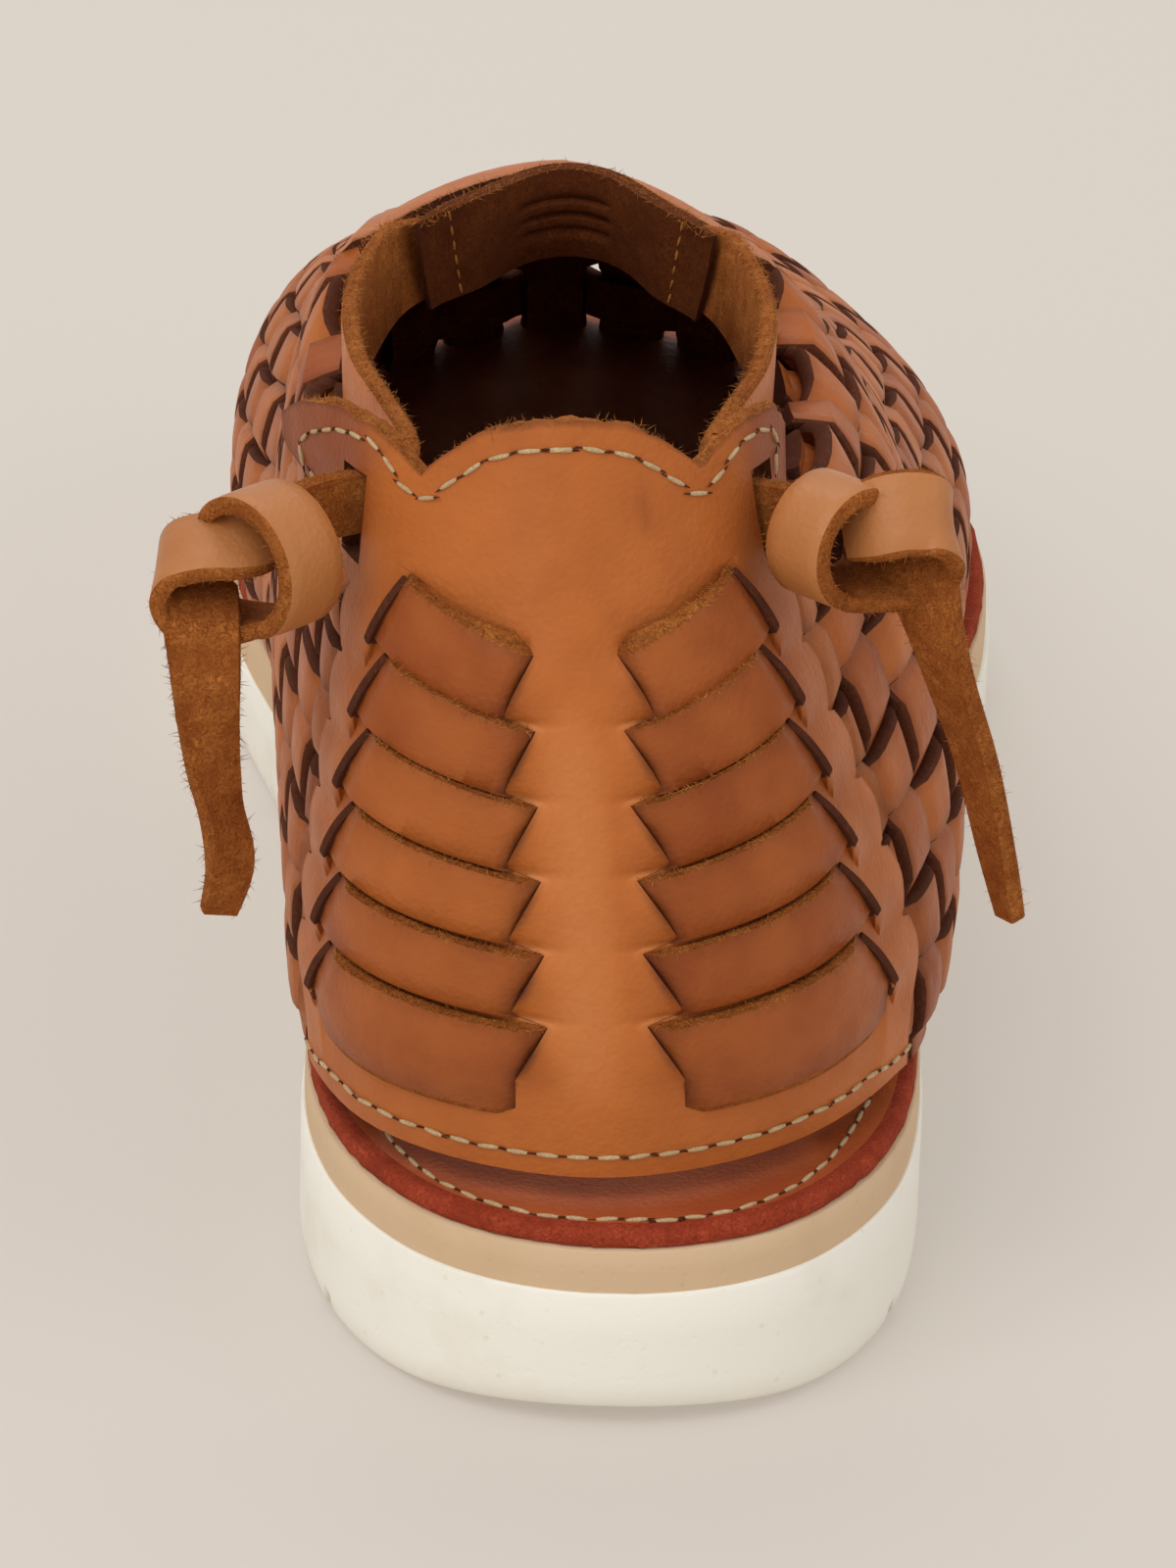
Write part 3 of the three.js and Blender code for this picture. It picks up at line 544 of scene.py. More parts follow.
# Heel counter rows from hem to top: inner share, outer share, inner slit, outer slit,
# shift, dip, front edge
def counter_table():
    rows = [(0, 0, HEM_FROM, HEM_TO, COUNTER_SHIFT, 0, front_at(0))]
    for k in range(STRAP_COUNT - 1, -1, -1):
        inner = STRAP_TOP_INNER - STRAP_PITCH_INNER * k
        outer = STRAP_TOP_OUTER - STRAP_PITCH_OUTER * k
        under = outer - STRAP_TALL_OUTER
        stop = STRAP_TO_LOW + STRAP_TO_LOW_STEP * k
        front = front_at(under - MARGIN_DIP)
        rows.append((inner - STRAP_TALL_INNER, under, STRAP_FROM_LOW, stop, COUNTER_SHIFT, MARGIN_DIP, front))
        stop = STRAP_TO_HIGH + STRAP_TO_HIGH_STEP * k
        front = front_at(outer - MARGIN_DIP)
        rows.append((inner, outer, STRAP_FROM_HIGH, stop, COUNTER_SHIFT, MARGIN_DIP, front))
    rows.append((SLIT_OVER, SLIT_OVER, SLIT_FROM, SLIT_SIDE, 0, SLIT_OVER - SLIT_LOW, SLIT_EDGE))
    for share in (SLIT_HIGH, 1):
        rows.append((share, share, SLIT_FROM, SLIT_SIDE, 0, 0, SLIT_EDGE))
    return np.array(rows)


COUNTER_ROWS = counter_table()
STRAP_ROWS = 2 * STRAP_COUNT
TOP_ROW = len(COUNTER_ROWS) - 1


def counter_place(row, reach):
    """Place and share on the counter; reach is 0 at the middle, 1 and 2 at the slits, 3 in front."""
    rows = np.arange(len(COUNTER_ROWS))
    columns = [np.interp(row, rows, column) for column in COUNTER_ROWS.T]
    low, high, start, stop, shift, dip, edge = columns
    k = np.abs(reach)
    top = np.clip(row - TOP_ROW + 1, 0, 1)
    edge = edge + np.where(row < STRAP_ROWS, SCALLOP * np.cos(np.pi * (row - SCALLOP_AT)), 0)
    ear = np.where(reach < 0, EAR_INNER, EAR_OUTER) * np.clip(row - TOP_ROW + 2, 0, 1) ** EAR_ROUND
    beyond = np.clip((k - SLIT_STOPS[1]) / (3 - SLIT_STOPS[1]), 0, 1)
    t = np.where(k < 2, mix(start, stop, k - 1), mix(stop, edge, k - 2) + ear * beyond)
    t = np.where(k < 1, start * k, t)
    share = mix(low, high, np.clip(k - 1, 0, 1) ** STRAP_CLIMB) - dip * smooth((k - 2) * DIP_RATE)
    valley = np.clip(1 - np.abs(t - VALLEY) / VALLEY_WIDE, 0, 1) ** VALLEY_POWER
    share = share - (VALLEY_DEEP * valley + EAR_DROP * beyond**2) * top
    return shift + np.sign(reach) * t, share


def ear_flare(t, share):
    """How far an ear stands off the wall; the inner one flares most."""
    out = np.clip((np.abs(t) - SLIT_OUT) / EAR_REACH, 0, 1)
    side = np.where(t < 0, EAR_FLARE_INNER, EAR_FLARE_OUTER)
    return side * out**EAR_POWER * smooth((share - SLIT_LOW) / (SLIT_HIGH - SLIT_LOW))


def counter_point(row, reach, level):
    t, share = counter_place(row, reach)
    return wall_off(t, share, COUNTER_OFF + COUNTER_THICK + level + ear_flare(t, share))


def tube_faces(rings):
    """Point numbers of stacked closed rings, and the quads between them."""
    n, m = rings.shape[:2]
    index = np.arange(n * m).reshape(n, m)
    turn = np.roll(index, -1, axis=1)
    quads = np.stack([index[:-1], turn[:-1], turn[1:], index[1:]], -1).reshape(-1, 4)
    return index, quads.tolist()


class Piece:
    """Closed bodies gathered into one mesh, with a finish for each face, and for each point a tone and a
    burnish that carry wear and painted shade.
    """

    def __init__(self):
        self.points = []
        self.faces = []
        self.finish = []
        self.tone = []
        self.burnish = []
        self.count = 0

    def add(self, points, faces, finish, tone=0.0, burnish=0.0):
        points = np.asarray(points, float).reshape(-1, 3)
        self.faces += [[v + self.count for v in face] for face in faces]
        self.finish += list(finish)
        self.points.append(points)
        self.tone.append(np.broadcast_to(np.ravel(tone), len(points)))
        self.burnish.append(np.broadcast_to(np.ravel(burnish), len(points)))
        self.count += len(points)

    def strap(self, rings, finish=STRAP_FINISH, tone=0.0, burnish=0.0):
        """Tube through closed rings, with flat ends."""
        index, quads = tube_faces(rings)
        faces = [*quads, index[0, ::-1].tolist(), index[-1].tolist()]
        self.add(rings, faces, [*finish] * (len(rings) - 1) + [EDGE, EDGE], tone, burnish)

    def layer(self, rings, side, cap):
        """Sole layer from stacked loops, with caps laid across in ladders."""
        index, quads = tube_faces(rings)
        m = index.shape[1]
        half = np.arange(m // 2 - 1)
        ladder = np.stack([half, half + 1, m - 2 - half, m - 1 - half], -1)
        faces = [*quads, *ladder[:, ::-1].tolist(), *(ladder + index[-1, 0]).tolist()]
        self.add(rings, faces, [side] * len(quads) + [cap] * 2 * len(ladder))

    def panel(self, outer, inner, finish, top=EDGE, holes=None, tone=0.0, burnish=0.0):
        """Sheet of leather between two grids of points; finish is a number for each cell."""
        rows, columns = outer.shape[:2]
        total = rows * columns
        index = np.arange(total).reshape(rows, columns)
        cells = np.stack([index[:-1, :-1], index[:-1, 1:], index[1:, 1:], index[1:, :-1]], -1)
        keep = np.ones(cells.shape[:2], bool) if holes is None else ~holes
        cells = cells[keep]
        faces = [*cells.tolist(), *(cells[:, ::-1] + total).tolist()]
        finishes = [*np.broadcast_to(finish, keep.shape)[keep].tolist(), *[FLESH] * len(cells)]
        steps = np.concatenate([cells[:, [i, (i + 1) % 4]] for i in range(4)]).tolist()
        present = {tuple(step) for step in steps}
        for a, b in steps:
            if (b, a) in present:
                continue
            faces.append([b, a, a + total, b + total])
            finishes.append(top if min(a, b) >= total - columns else EDGE)
        wear = np.broadcast_to(burnish, (rows, columns)).ravel()
        points = np.concatenate([outer.reshape(-1, 3), inner.reshape(-1, 3)])
        self.add(points, faces, finishes, tone, np.concatenate([wear, wear]))

    def build(self, name, materials, slot, *nodes):
        mesh = bpy.data.meshes.new(name)
        mesh.from_pydata((np.concatenate(self.points) * MM).tolist(), [], self.faces)
        for material in materials:
            mesh.materials.append(finish_of(material))
        mesh.polygons.foreach_set("material_index", self.finish)
        for label, values in (("tone", self.tone), ("burnish", self.burnish)):
            layer = mesh.attributes.new(label, "FLOAT", "POINT")
            layer.data.foreach_set("value", np.concatenate(values).astype(np.float32))
        shape = bmesh.new()
        shape.from_mesh(mesh)
        bmesh.ops.recalc_face_normals(shape, faces=shape.faces)
        shape.to_mesh(mesh)
        shape.free()
        mesh.shade_smooth()
        mesh.set_sharp_from_angle(angle=math.radians(SHARP_ANGLE))
        return place_piece(name, mesh, slot, *nodes)


def place_piece(name, mesh, slot, *nodes):
    piece = bpy.data.objects.new(name, mesh)
    bpy.context.scene.collection.objects.link(piece)
    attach(piece, "root")
    if nodes:
        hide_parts(*nodes)
    return piece


def ribbon_rings(points, wide, width, thick):
    """Rings of a strap along a line; wide points across it and the grain lies on the left of both."""
    along = unit(np.gradient(points, axis=0))
    wide = unit(wide - along * (wide * along).sum(1, keepdims=True))
    face = unit(np.cross(along, wide))
    across = STRAP_PROFILE[None, :, :1] * (width / 2)[:, None, None]
    level = STRAP_PROFILE[None, :, 1:] * thick / 2
    return points[:, None] + wide[:, None] * across + face[:, None] * level


# Shader pieces
def set_inputs(tree, node, values):
    """Link a node's inputs from sockets, or set them to values."""
    for key, value in values.items():
        if isinstance(value, bpy.types.NodeSocket):
            tree.links.new(value, node.inputs[key])
        else:
            node.inputs[key].default_value = value


def add_node(tree, kind, values=None, **settings):
    node = tree.nodes.new(kind)
    for key, value in settings.items():
        setattr(node, key, value)
    set_inputs(tree, node, values or {})
    return node


def sum_of(tree, a, b):
    return add_node(tree, "ShaderNodeMath", {0: a, 1: b}, operation="ADD").outputs[0]


def product_of(tree, a, b):
    return add_node(tree, "ShaderNodeMath", {0: a, 1: b}, operation="MULTIPLY").outputs[0]


def span(tree, value, low, high, to_low=0.0, to_high=1.0):
    values = {"Value": value, "From Min": low, "From Max": high, "To Min": to_low, "To Max": to_high}
    return add_node(tree, "ShaderNodeMapRange", values).outputs[0]


def tint(tree, share, a, b):
    return add_node(tree, "ShaderNodeMix", {0: share, 6: a, 7: b}, data_type="RGBA").outputs[2]


def noise(tree, vector, scale, detail=3.0, rough=0.55, bend=0.0):
    values = {"Vector": vector, "Scale": scale, "Detail": detail, "Roughness": rough, "Distortion": bend}
    return add_node(tree, "ShaderNodeTexNoise", values).outputs["Fac"]


def cells(tree, vector, scale):
    return add_node(tree, "ShaderNodeTexVoronoi", {"Vector": vector, "Scale": scale}).outputs["Distance"]


FINISH_OUTPUTS = {"Color": "Color", "Roughness": "Float", "Height": "Float"}


def new_group(name, colours, numbers=()):
    """Finish group that takes a place, colours and numbers."""
    tree = bpy.data.node_groups.new(name, "ShaderNodeTree")
    kinds = {"Vector": "Vector", **dict.fromkeys(colours, "Color"), **dict.fromkeys(numbers, "Float")}
    for way, sockets in (("INPUT", kinds), ("OUTPUT", FINISH_OUTPUTS)):
        for label, kind in sockets.items():
            tree.interface.new_socket(label, in_out=way, socket_type="NodeSocket" + kind)
    return tree, tree.nodes.new("NodeGroupInput").outputs


def end_group(tree, *sockets):
    """Link a group's colour, roughness and height to its outputs."""
    set_inputs(tree, tree.nodes.new("NodeGroupOutput"), dict(zip(FINISH_OUTPUTS, sockets)))
    return tree


def leather_group():
    """Satin grain: mottled dye, pores, fine creases, and burnishing towards cut edges; tone and burnish also
    carry painted shade.
    """
    tree, source = new_group("leather_grain", ("Base", "Shade", "Burn", "Pale"), ("Tone", "Burnish"))
    vector = source["Vector"]
    mottle = noise(tree, vector, 42, detail=4)
    cloud = noise(tree, vector, 170, detail=4, rough=0.6)
    crease = noise(tree, vector, 420, detail=5, rough=0.6, bend=1.4)
    pebble = cells(tree, vector, 1250)
    pore = noise(tree, vector, 3200, detail=2)
    # Tone: random dye, and the painted shade on each ear of the heel counter
    dye = sum_of(tree, span(tree, mottle, 0.3, 0.75, 0.0, 0.55), source["Tone"])
    dye = sum_of(tree, dye, span(tree, cloud, 0.35, 0.7, -0.06, 0.08))
    colour = tint(tree, dye, source["Base"], source["Shade"])
    rubbed = span(tree, source["Tone"], -0.15, -0.9)
    rubbed = product_of(tree, rubbed, span(tree, crease, 0.3, 0.65, 0.6, 1.0))
    colour = tint(tree, rubbed, colour, source["Pale"])
    # Burnish: burnished edges, and the painted shade on the weave beside the counter
    wear_and_shade = product_of(tree, source["Burnish"], span(tree, cloud, 0.3, 0.7, 0.5, 1.0))
    colour = tint(tree, wear_and_shade, colour, source["Burn"])
    rough = sum_of(tree, span(tree, cloud, 0.3, 0.7, 0.36, 0.52), product_of(tree, wear_and_shade, 0.12))
    fine = sum_of(tree, product_of(tree, pebble, 0.5), product_of(tree, pore, 0.25))
    return end_group(tree, colour, rough, sum_of(tree, fine, product_of(tree, crease, 0.8)))


def nap_group():
    """Napped or raw leather: matted fibres with lighter tips."""
    tree, source = new_group("leather_nap", ("Base", "Tip"))
    fibre = noise(tree, source["Vector"], 1500, detail=4, rough=0.7, bend=1.8)
    patch = noise(tree, source["Vector"], 240, rough=0.6)
    light = product_of(tree, span(tree, fibre, 0.36, 0.68), span(tree, patch, 0.3, 0.7, 0.25, 1.0))
    colour = tint(tree, light, source["Base"], source["Tip"])
    rough = span(tree, fibre, 0.3, 0.7, 0.85, 1.0)
    return end_group(tree, colour, rough, sum_of(tree, fibre, product_of(tree, patch, 0.8)))


def foam_group():
    """Foam rubber: closed pores, faint specks and handling marks."""
    tree, source = new_group("foam_rubber", ("Base", "Speck"))
    vector = source["Vector"]
    pit = span(tree, cells(tree, vector, 620), 0.05, 0.3)
    grain = noise(tree, vector, 1800)
    cloud = noise(tree, vector, 60, detail=4, rough=0.6)
    speck = span(tree, cells(tree, vector, 230), 0.11, 0.05)
    mark = sum_of(tree, span(tree, cloud, 0.5, 0.8, 0.0, 0.28), product_of(tree, speck, 0.22))
    colour = tint(tree, mark, source["Base"], source["Speck"])
    rough = span(tree, cloud, 0.3, 0.7, 0.66, 0.84)
    return end_group(tree, colour, rough, sum_of(tree, pit, product_of(tree, grain, 0.4)))


def new_material(name, group, colours, depth, gloss=0.3, coat=0.0, wear=False):
    """Material that feeds a finish group into a Principled shader; depth is the bump in millimetres."""
    material = bpy.data.materials.new(name)
    material.use_nodes = True
    tree = material.node_tree
    values = {"Vector": add_node(tree, "ShaderNodeTexCoord").outputs["Object"]}
    values.update({label: (*colour, 1) for label, colour in colours.items()})
    # The tone and burnish attributes carry wear and painted shade
    if wear:
        for label in ("tone", "burnish"):
            reader = add_node(tree, "ShaderNodeAttribute", attribute_name=label)
            values[label.capitalize()] = reader.outputs["Fac"]
    finish = add_node(tree, "ShaderNodeGroup", values, node_tree=group).outputs
    bump = {"Height": finish["Height"], "Distance": depth * MM, "Strength": BUMP_STRENGTH}
    set_inputs(tree, tree.nodes["Principled BSDF"], {
        "Base Color": finish["Color"],
        "Roughness": finish["Roughness"],
        "Normal": add_node(tree, "ShaderNodeBump", bump).outputs["Normal"],
        "Coat Weight": coat,
        "Coat Roughness": COAT_ROUGH,
        "Specular IOR Level": gloss,
    })


def finish_of(name):
    """Material by name; the first call makes them all."""
    if name not in bpy.data.materials:
        make_materials(bpy.context.scene.huarache.colours)
    return bpy.data.materials[name]


def make_materials(c):
    leather, nap, foam = leather_group(), nap_group(), foam_group()
    wear_and_shade = {"Burn": c.burnish, "Pale": c.grain_pale}
    grain = {"Base": c.grain, "Shade": c.grain_shade, **wear_and_shade}
    tie = {"Base": c.tie, "Shade": c.tie_shade, **wear_and_shade}
    bed = {"Base": c.footbed, "Shade": c.footbed_edge, **wear_and_shade}
    new_material("strap_grain", leather, grain, 0.2, gloss=0.15, coat=0.03, wear=True)
    new_material("tie_grain", leather, tie, 0.16, coat=0.05, wear=True)
    new_material("footbed_grain", leather, bed, 0.16, wear=True)
    new_material("raw_edge", nap, {"Base": c.raw_edge, "Tip": c.raw_tip}, 0.35, gloss=0.15)
    new_material("flesh_side", nap, {"Base": c.flesh, "Tip": c.flesh_tip}, 0.5, gloss=0.1)
    new_material("edge_fibre", nap, {"Base": c.fibre, "Tip": c.fibre_tip}, 0.2, gloss=0.1)
    # Saddle suede: darker brown leather, made darker still as painted shade inside the collar
    new_material("saddle_suede_shaded", nap, {"Base": c.saddle, "Tip": c.saddle_tip}, 0.5, gloss=0.1)
    new_material("footbed_edge", nap, {"Base": c.footbed_edge, "Tip": c.oxblood}, 0.4, gloss=0.1)
    new_material("thread", nap, {"Base": c.thread_shade, "Tip": c.thread}, 0.2)
    new_material("midsole_foam", foam, {"Base": c.midsole, "Speck": c.midsole_speck}, 0.08)
    new_material("outsole_foam", foam, {"Base": c.outsole, "Speck": c.outsole_speck}, 0.05)


# Geometry node trees
def new_geometry_tree(name, sizes):
    """Tree that takes lines, sizes and a material; also gives points along the lines."""
    tree = bpy.data.node_groups.new(name, "GeometryNodeTree")
    kinds = {"Lines": "Geometry", **dict.fromkeys(sizes, "Float"), "Material": "Material"}
    for label, kind in kinds.items():
        tree.interface.new_socket(label, in_out="INPUT", socket_type="NodeSocket" + kind)
    tree.interface.new_socket("Mesh", in_out="OUTPUT", socket_type="NodeSocketGeometry")
    source = tree.nodes.new("NodeGroupInput").outputs
    curve = add_node(tree, "GeometryNodeMeshToCurve", {0: source["Lines"]})
    values = {"Curve": curve.outputs[0], "Length": source["Pitch"]}
    return tree, source, add_node(tree, "GeometryNodeResampleCurve", values, mode="LENGTH").outputs[0]


def end_tree(tree, material, points, shape, turn, size):
    """Place a shape on points, realize the instances, smooth them and set their material."""
    values = {"Points": points, "Instance": shape, "Rotation": turn, "Scale": size}
    placed = add_node(tree, "GeometryNodeInstanceOnPoints", values)
    solid = add_node(tree, "GeometryNodeRealizeInstances", {"Geometry": placed.outputs[0]})
    shaded = add_node(tree, "GeometryNodeSetShadeSmooth", {"Geometry": solid.outputs[0]})
    values = {"Geometry": shaded.outputs[0], "Material": material}
    done = add_node(tree, "GeometryNodeSetMaterial", values)
    add_node(tree, "NodeGroupOutput", {"Mesh": done.outputs[0]})
    return tree


def random_turn(tree, most):
    values = {"Min": (-most,) * 3, "Max": (most,) * 3, "Seed": SEED}
    return add_node(tree, "FunctionNodeRandomValue", values, data_type="FLOAT_VECTOR").outputs[0]


def thread_tree():
    """Stitches laid end to end along lines."""
    tree, source, points = new_geometry_tree("thread_run", ("Pitch", "Stitch", "Thick"))
    bead = add_node(tree, "GeometryNodeMeshUVSphere", {"Segments": 8, "Rings": 6, "Radius": 0.5})
    shape = {"X": source["Stitch"], "Y": source["Thick"], "Z": source["Thick"]}
    size = add_node(tree, "ShaderNodeCombineXYZ", shape)
    tangent = {"Vector": add_node(tree, "GeometryNodeInputTangent").outputs[0]}
    turn = add_node(tree, "FunctionNodeAlignRotationToVector", tangent, axis="X")
    values = {"Rotation": turn.outputs[0], "Rotate By": random_turn(tree, THREAD_LEAN)}
    spin = add_node(tree, "FunctionNodeRotateRotation", values, rotation_space="LOCAL")
    return end_tree(tree, source["Material"], points, bead.outputs[0], spin.outputs[0], size.outputs[0])


def nap_tree():
    """Loose fibres standing in all directions along lines."""
    tree, source, points = new_geometry_tree("nap_run", ("Pitch", "Fibre", "Thick"))
    values = {"Vertices": 3, "Radius Bottom": source["Thick"], "Depth": source["Fibre"]}
    fibre = add_node(tree, "GeometryNodeMeshCone", values).outputs[0]
    values = {2: FIBRE_SHORTEST, 3: 1.0, "Seed": SEED + 1}
    size = add_node(tree, "FunctionNodeRandomValue", values, data_type="FLOAT").outputs[1]
    return end_tree(tree, source["Material"], points, fibre, random_turn(tree, math.pi), size)


def run_tree(name, tree, lines, inputs, slot):
    """Plain mesh made by a geometry tree along lines."""
    points = np.concatenate(lines) * MM
    edges = []
    start = 0
    for line in lines:
        edges += [(i, i + 1) for i in range(start, start + len(line) - 1)]
        start += len(line)
    guide = bpy.data.meshes.new(name + "_guide")
    guide.from_pydata(points.tolist(), edges, [])
    holder = bpy.data.objects.new(name + "_guide", guide)
    bpy.context.scene.collection.objects.link(holder)
    modifier = holder.modifiers.new(name, "NODES")
    modifier.node_group = tree
    for item in tree.interface.items_tree:
        if item.in_out == "INPUT" and item.name in inputs:
            modifier[item.identifier] = inputs[item.name]
    graph = bpy.context.evaluated_depsgraph_get()
    mesh = bpy.data.meshes.new_from_object(holder.evaluated_get(graph))
    mesh.name = name
    holder.modifiers.clear()
    bpy.data.objects.remove(holder)
    bpy.data.meshes.remove(guide)
    return place_piece(name, mesh, slot)


# Settings
def srgb(red, green, blue):
    """Linear colour from display values of 0 to 255."""
    values = [v / 255 for v in (red, green, blue)]
    return tuple(v / 12.92 if v < 0.04045 else ((v + 0.055) / 1.055) ** 2.4 for v in values)


def number_prop(name, description, default, **settings):
    return FloatProperty(name=name, description=description, default=default, **settings)


def length_prop(name, description, millimetres):
    return number_prop(name, description, millimetres * MM, unit="LENGTH", precision=5)


def angle_prop(name, description, degrees):
    return number_prop(name, description, math.radians(degrees), unit="ROTATION")


def colour_prop(name, description, *display):
    default = srgb(*display)
    return FloatVectorProperty(
        name=name, description=description, default=default, size=3, min=0, max=1, subtype="COLOR"
    )


class HuaracheSizes(bpy.types.PropertyGroup):
    """Sizes of the leather work"""

    strap_thick: length_prop("Strap thickness", "Thickness of the woven straps", 2.2)
    weave_rise: length_prop("Weave rise", "How far a strap rises over a crossing one", 1.25)
    strap_share: number_prop("Strap share", "Strap width as a share of its pitch", 0.79)
    counter_strap: length_prop("Counter strap", "Thickness of the straps through the counter", 2.1)
    lip: length_prop("Slit lip", "Height of the lifted lips of the counter's slits", 1.9)
    tie_thick: length_prop("Tie thickness", "Thickness of the ties", 2.1)
    stitch_pitch: length_prop("Stitch pitch", "Distance between stitches", 3.5)
    stitch: length_prop("Stitch length", "Length of thread that shows", 3.2)
    thread: length_prop("Thread", "Thickness of the thread", 0.6)
    fibre: length_prop("Fibre", "Longest loose fibre at a raw edge", 1.5)


class HuaracheColours(bpy.types.PropertyGroup):
    """Colours of leather, thread and sole"""

    grain: colour_prop("Grain", "Caramel strap leather", 192, 109, 50)
    # Grain shade also paints the shade on each ear of the heel counter
    grain_shade: colour_prop("Grain shade", "Darker dye in the strap leather", 148, 73, 32)
    grain_pale: colour_prop("Grain pale", "Leather rubbed or stretched pale", 222, 152, 96)
    # Burnish also paints the shade on the weave beside the heel counter
    burnish: colour_prop("Burnish", "Dye gathered at cuts and folds", 72, 33, 22)
    raw_edge: colour_prop("Raw edge", "Cut edge of the straps", 74, 38, 25)
    raw_tip: colour_prop("Raw edge tips", "Fibres on the cut edge", 112, 62, 36)
    flesh: colour_prop("Flesh side", "Napped inner face", 130, 64, 23)
    flesh_tip: colour_prop("Flesh tips", "Nap of the inner face", 206, 130, 62)
    tie: colour_prop("Tie", "Light tan tie leather", 184, 119, 66)
    tie_shade: colour_prop("Tie shade", "Darker dye in the ties", 156, 90, 46)
    thread: colour_prop("Thread", "Cream thread", 226, 204, 164)
    thread_shade: colour_prop("Thread shade", "Twist of the thread", 176, 146, 104)
    # Saddle colours: darker brown suede, made darker still as painted shade inside the collar
    saddle: colour_prop("Saddle", "Dark inner face of the throat saddle", 84, 39, 17)
    saddle_tip: colour_prop("Saddle tips", "Nap of the saddle", 130, 70, 30)
    fibre: colour_prop("Fibre", "Loose fibres of a raw edge", 160, 94, 40)
    fibre_tip: colour_prop("Fibre tips", "Pale ends of the loose fibres", 226, 160, 90)
    footbed: colour_prop("Footbed", "Red-brown footbed", 186, 94, 48)
    footbed_edge: colour_prop("Footbed edge", "Dark red edge dye", 136, 50, 30)
    oxblood: colour_prop("Oxblood", "Red fibres of the footbed edge", 202, 88, 56)
    midsole: colour_prop("Midsole", "Tan layer", 213, 182, 146)
    midsole_speck: colour_prop("Midsole speck", "Marks on the tan layer", 182, 146, 104)
    outsole: colour_prop("Outsole", "Ivory foam", 244, 240, 228)
    outsole_speck: colour_prop("Outsole speck", "Marks on the foam", 206, 192, 160)
    floor: colour_prop("Floor", "Pale floor", 168, 161, 153)


class HuaracheStage(bpy.types.PropertyGroup):
    """Camera and lights"""

    place: FloatVectorProperty(
        name="Camera",
        description="Place of the camera",
        default=(-0.01707, -1.0228, 0.48993),
        subtype="TRANSLATION",
    )
    heading: angle_prop("Heading", "Turn to the right", 0.809)
    dip: angle_prop("Dip", "Tilt below level", 24.82)
    roll: angle_prop("Roll", "Roll of the frame", 1.57)
    lens: number_prop("Lens", "Focal length for a 36 mm long side", 195.3)
    key: number_prop("Key", "Strength of the key light in watts", 15)
    fill: number_prop("Fill", "Strength of the fill light in watts", 3.2)
    sheen: number_prop("Sheen", "Strength of the low light in watts", 1.9)
    glow: number_prop("Glow", "Light given off by the lit floor", 0.72)
    sky: number_prop("Sky", "Strength of the surrounding light", 0.63)


class HuaracheSettings(bpy.types.PropertyGroup):
    """Everything a user may change on the shoe"""

    sizes: PointerProperty(type=HuaracheSizes)
    colours: PointerProperty(type=HuaracheColours)
    stage: PointerProperty(type=HuaracheStage)


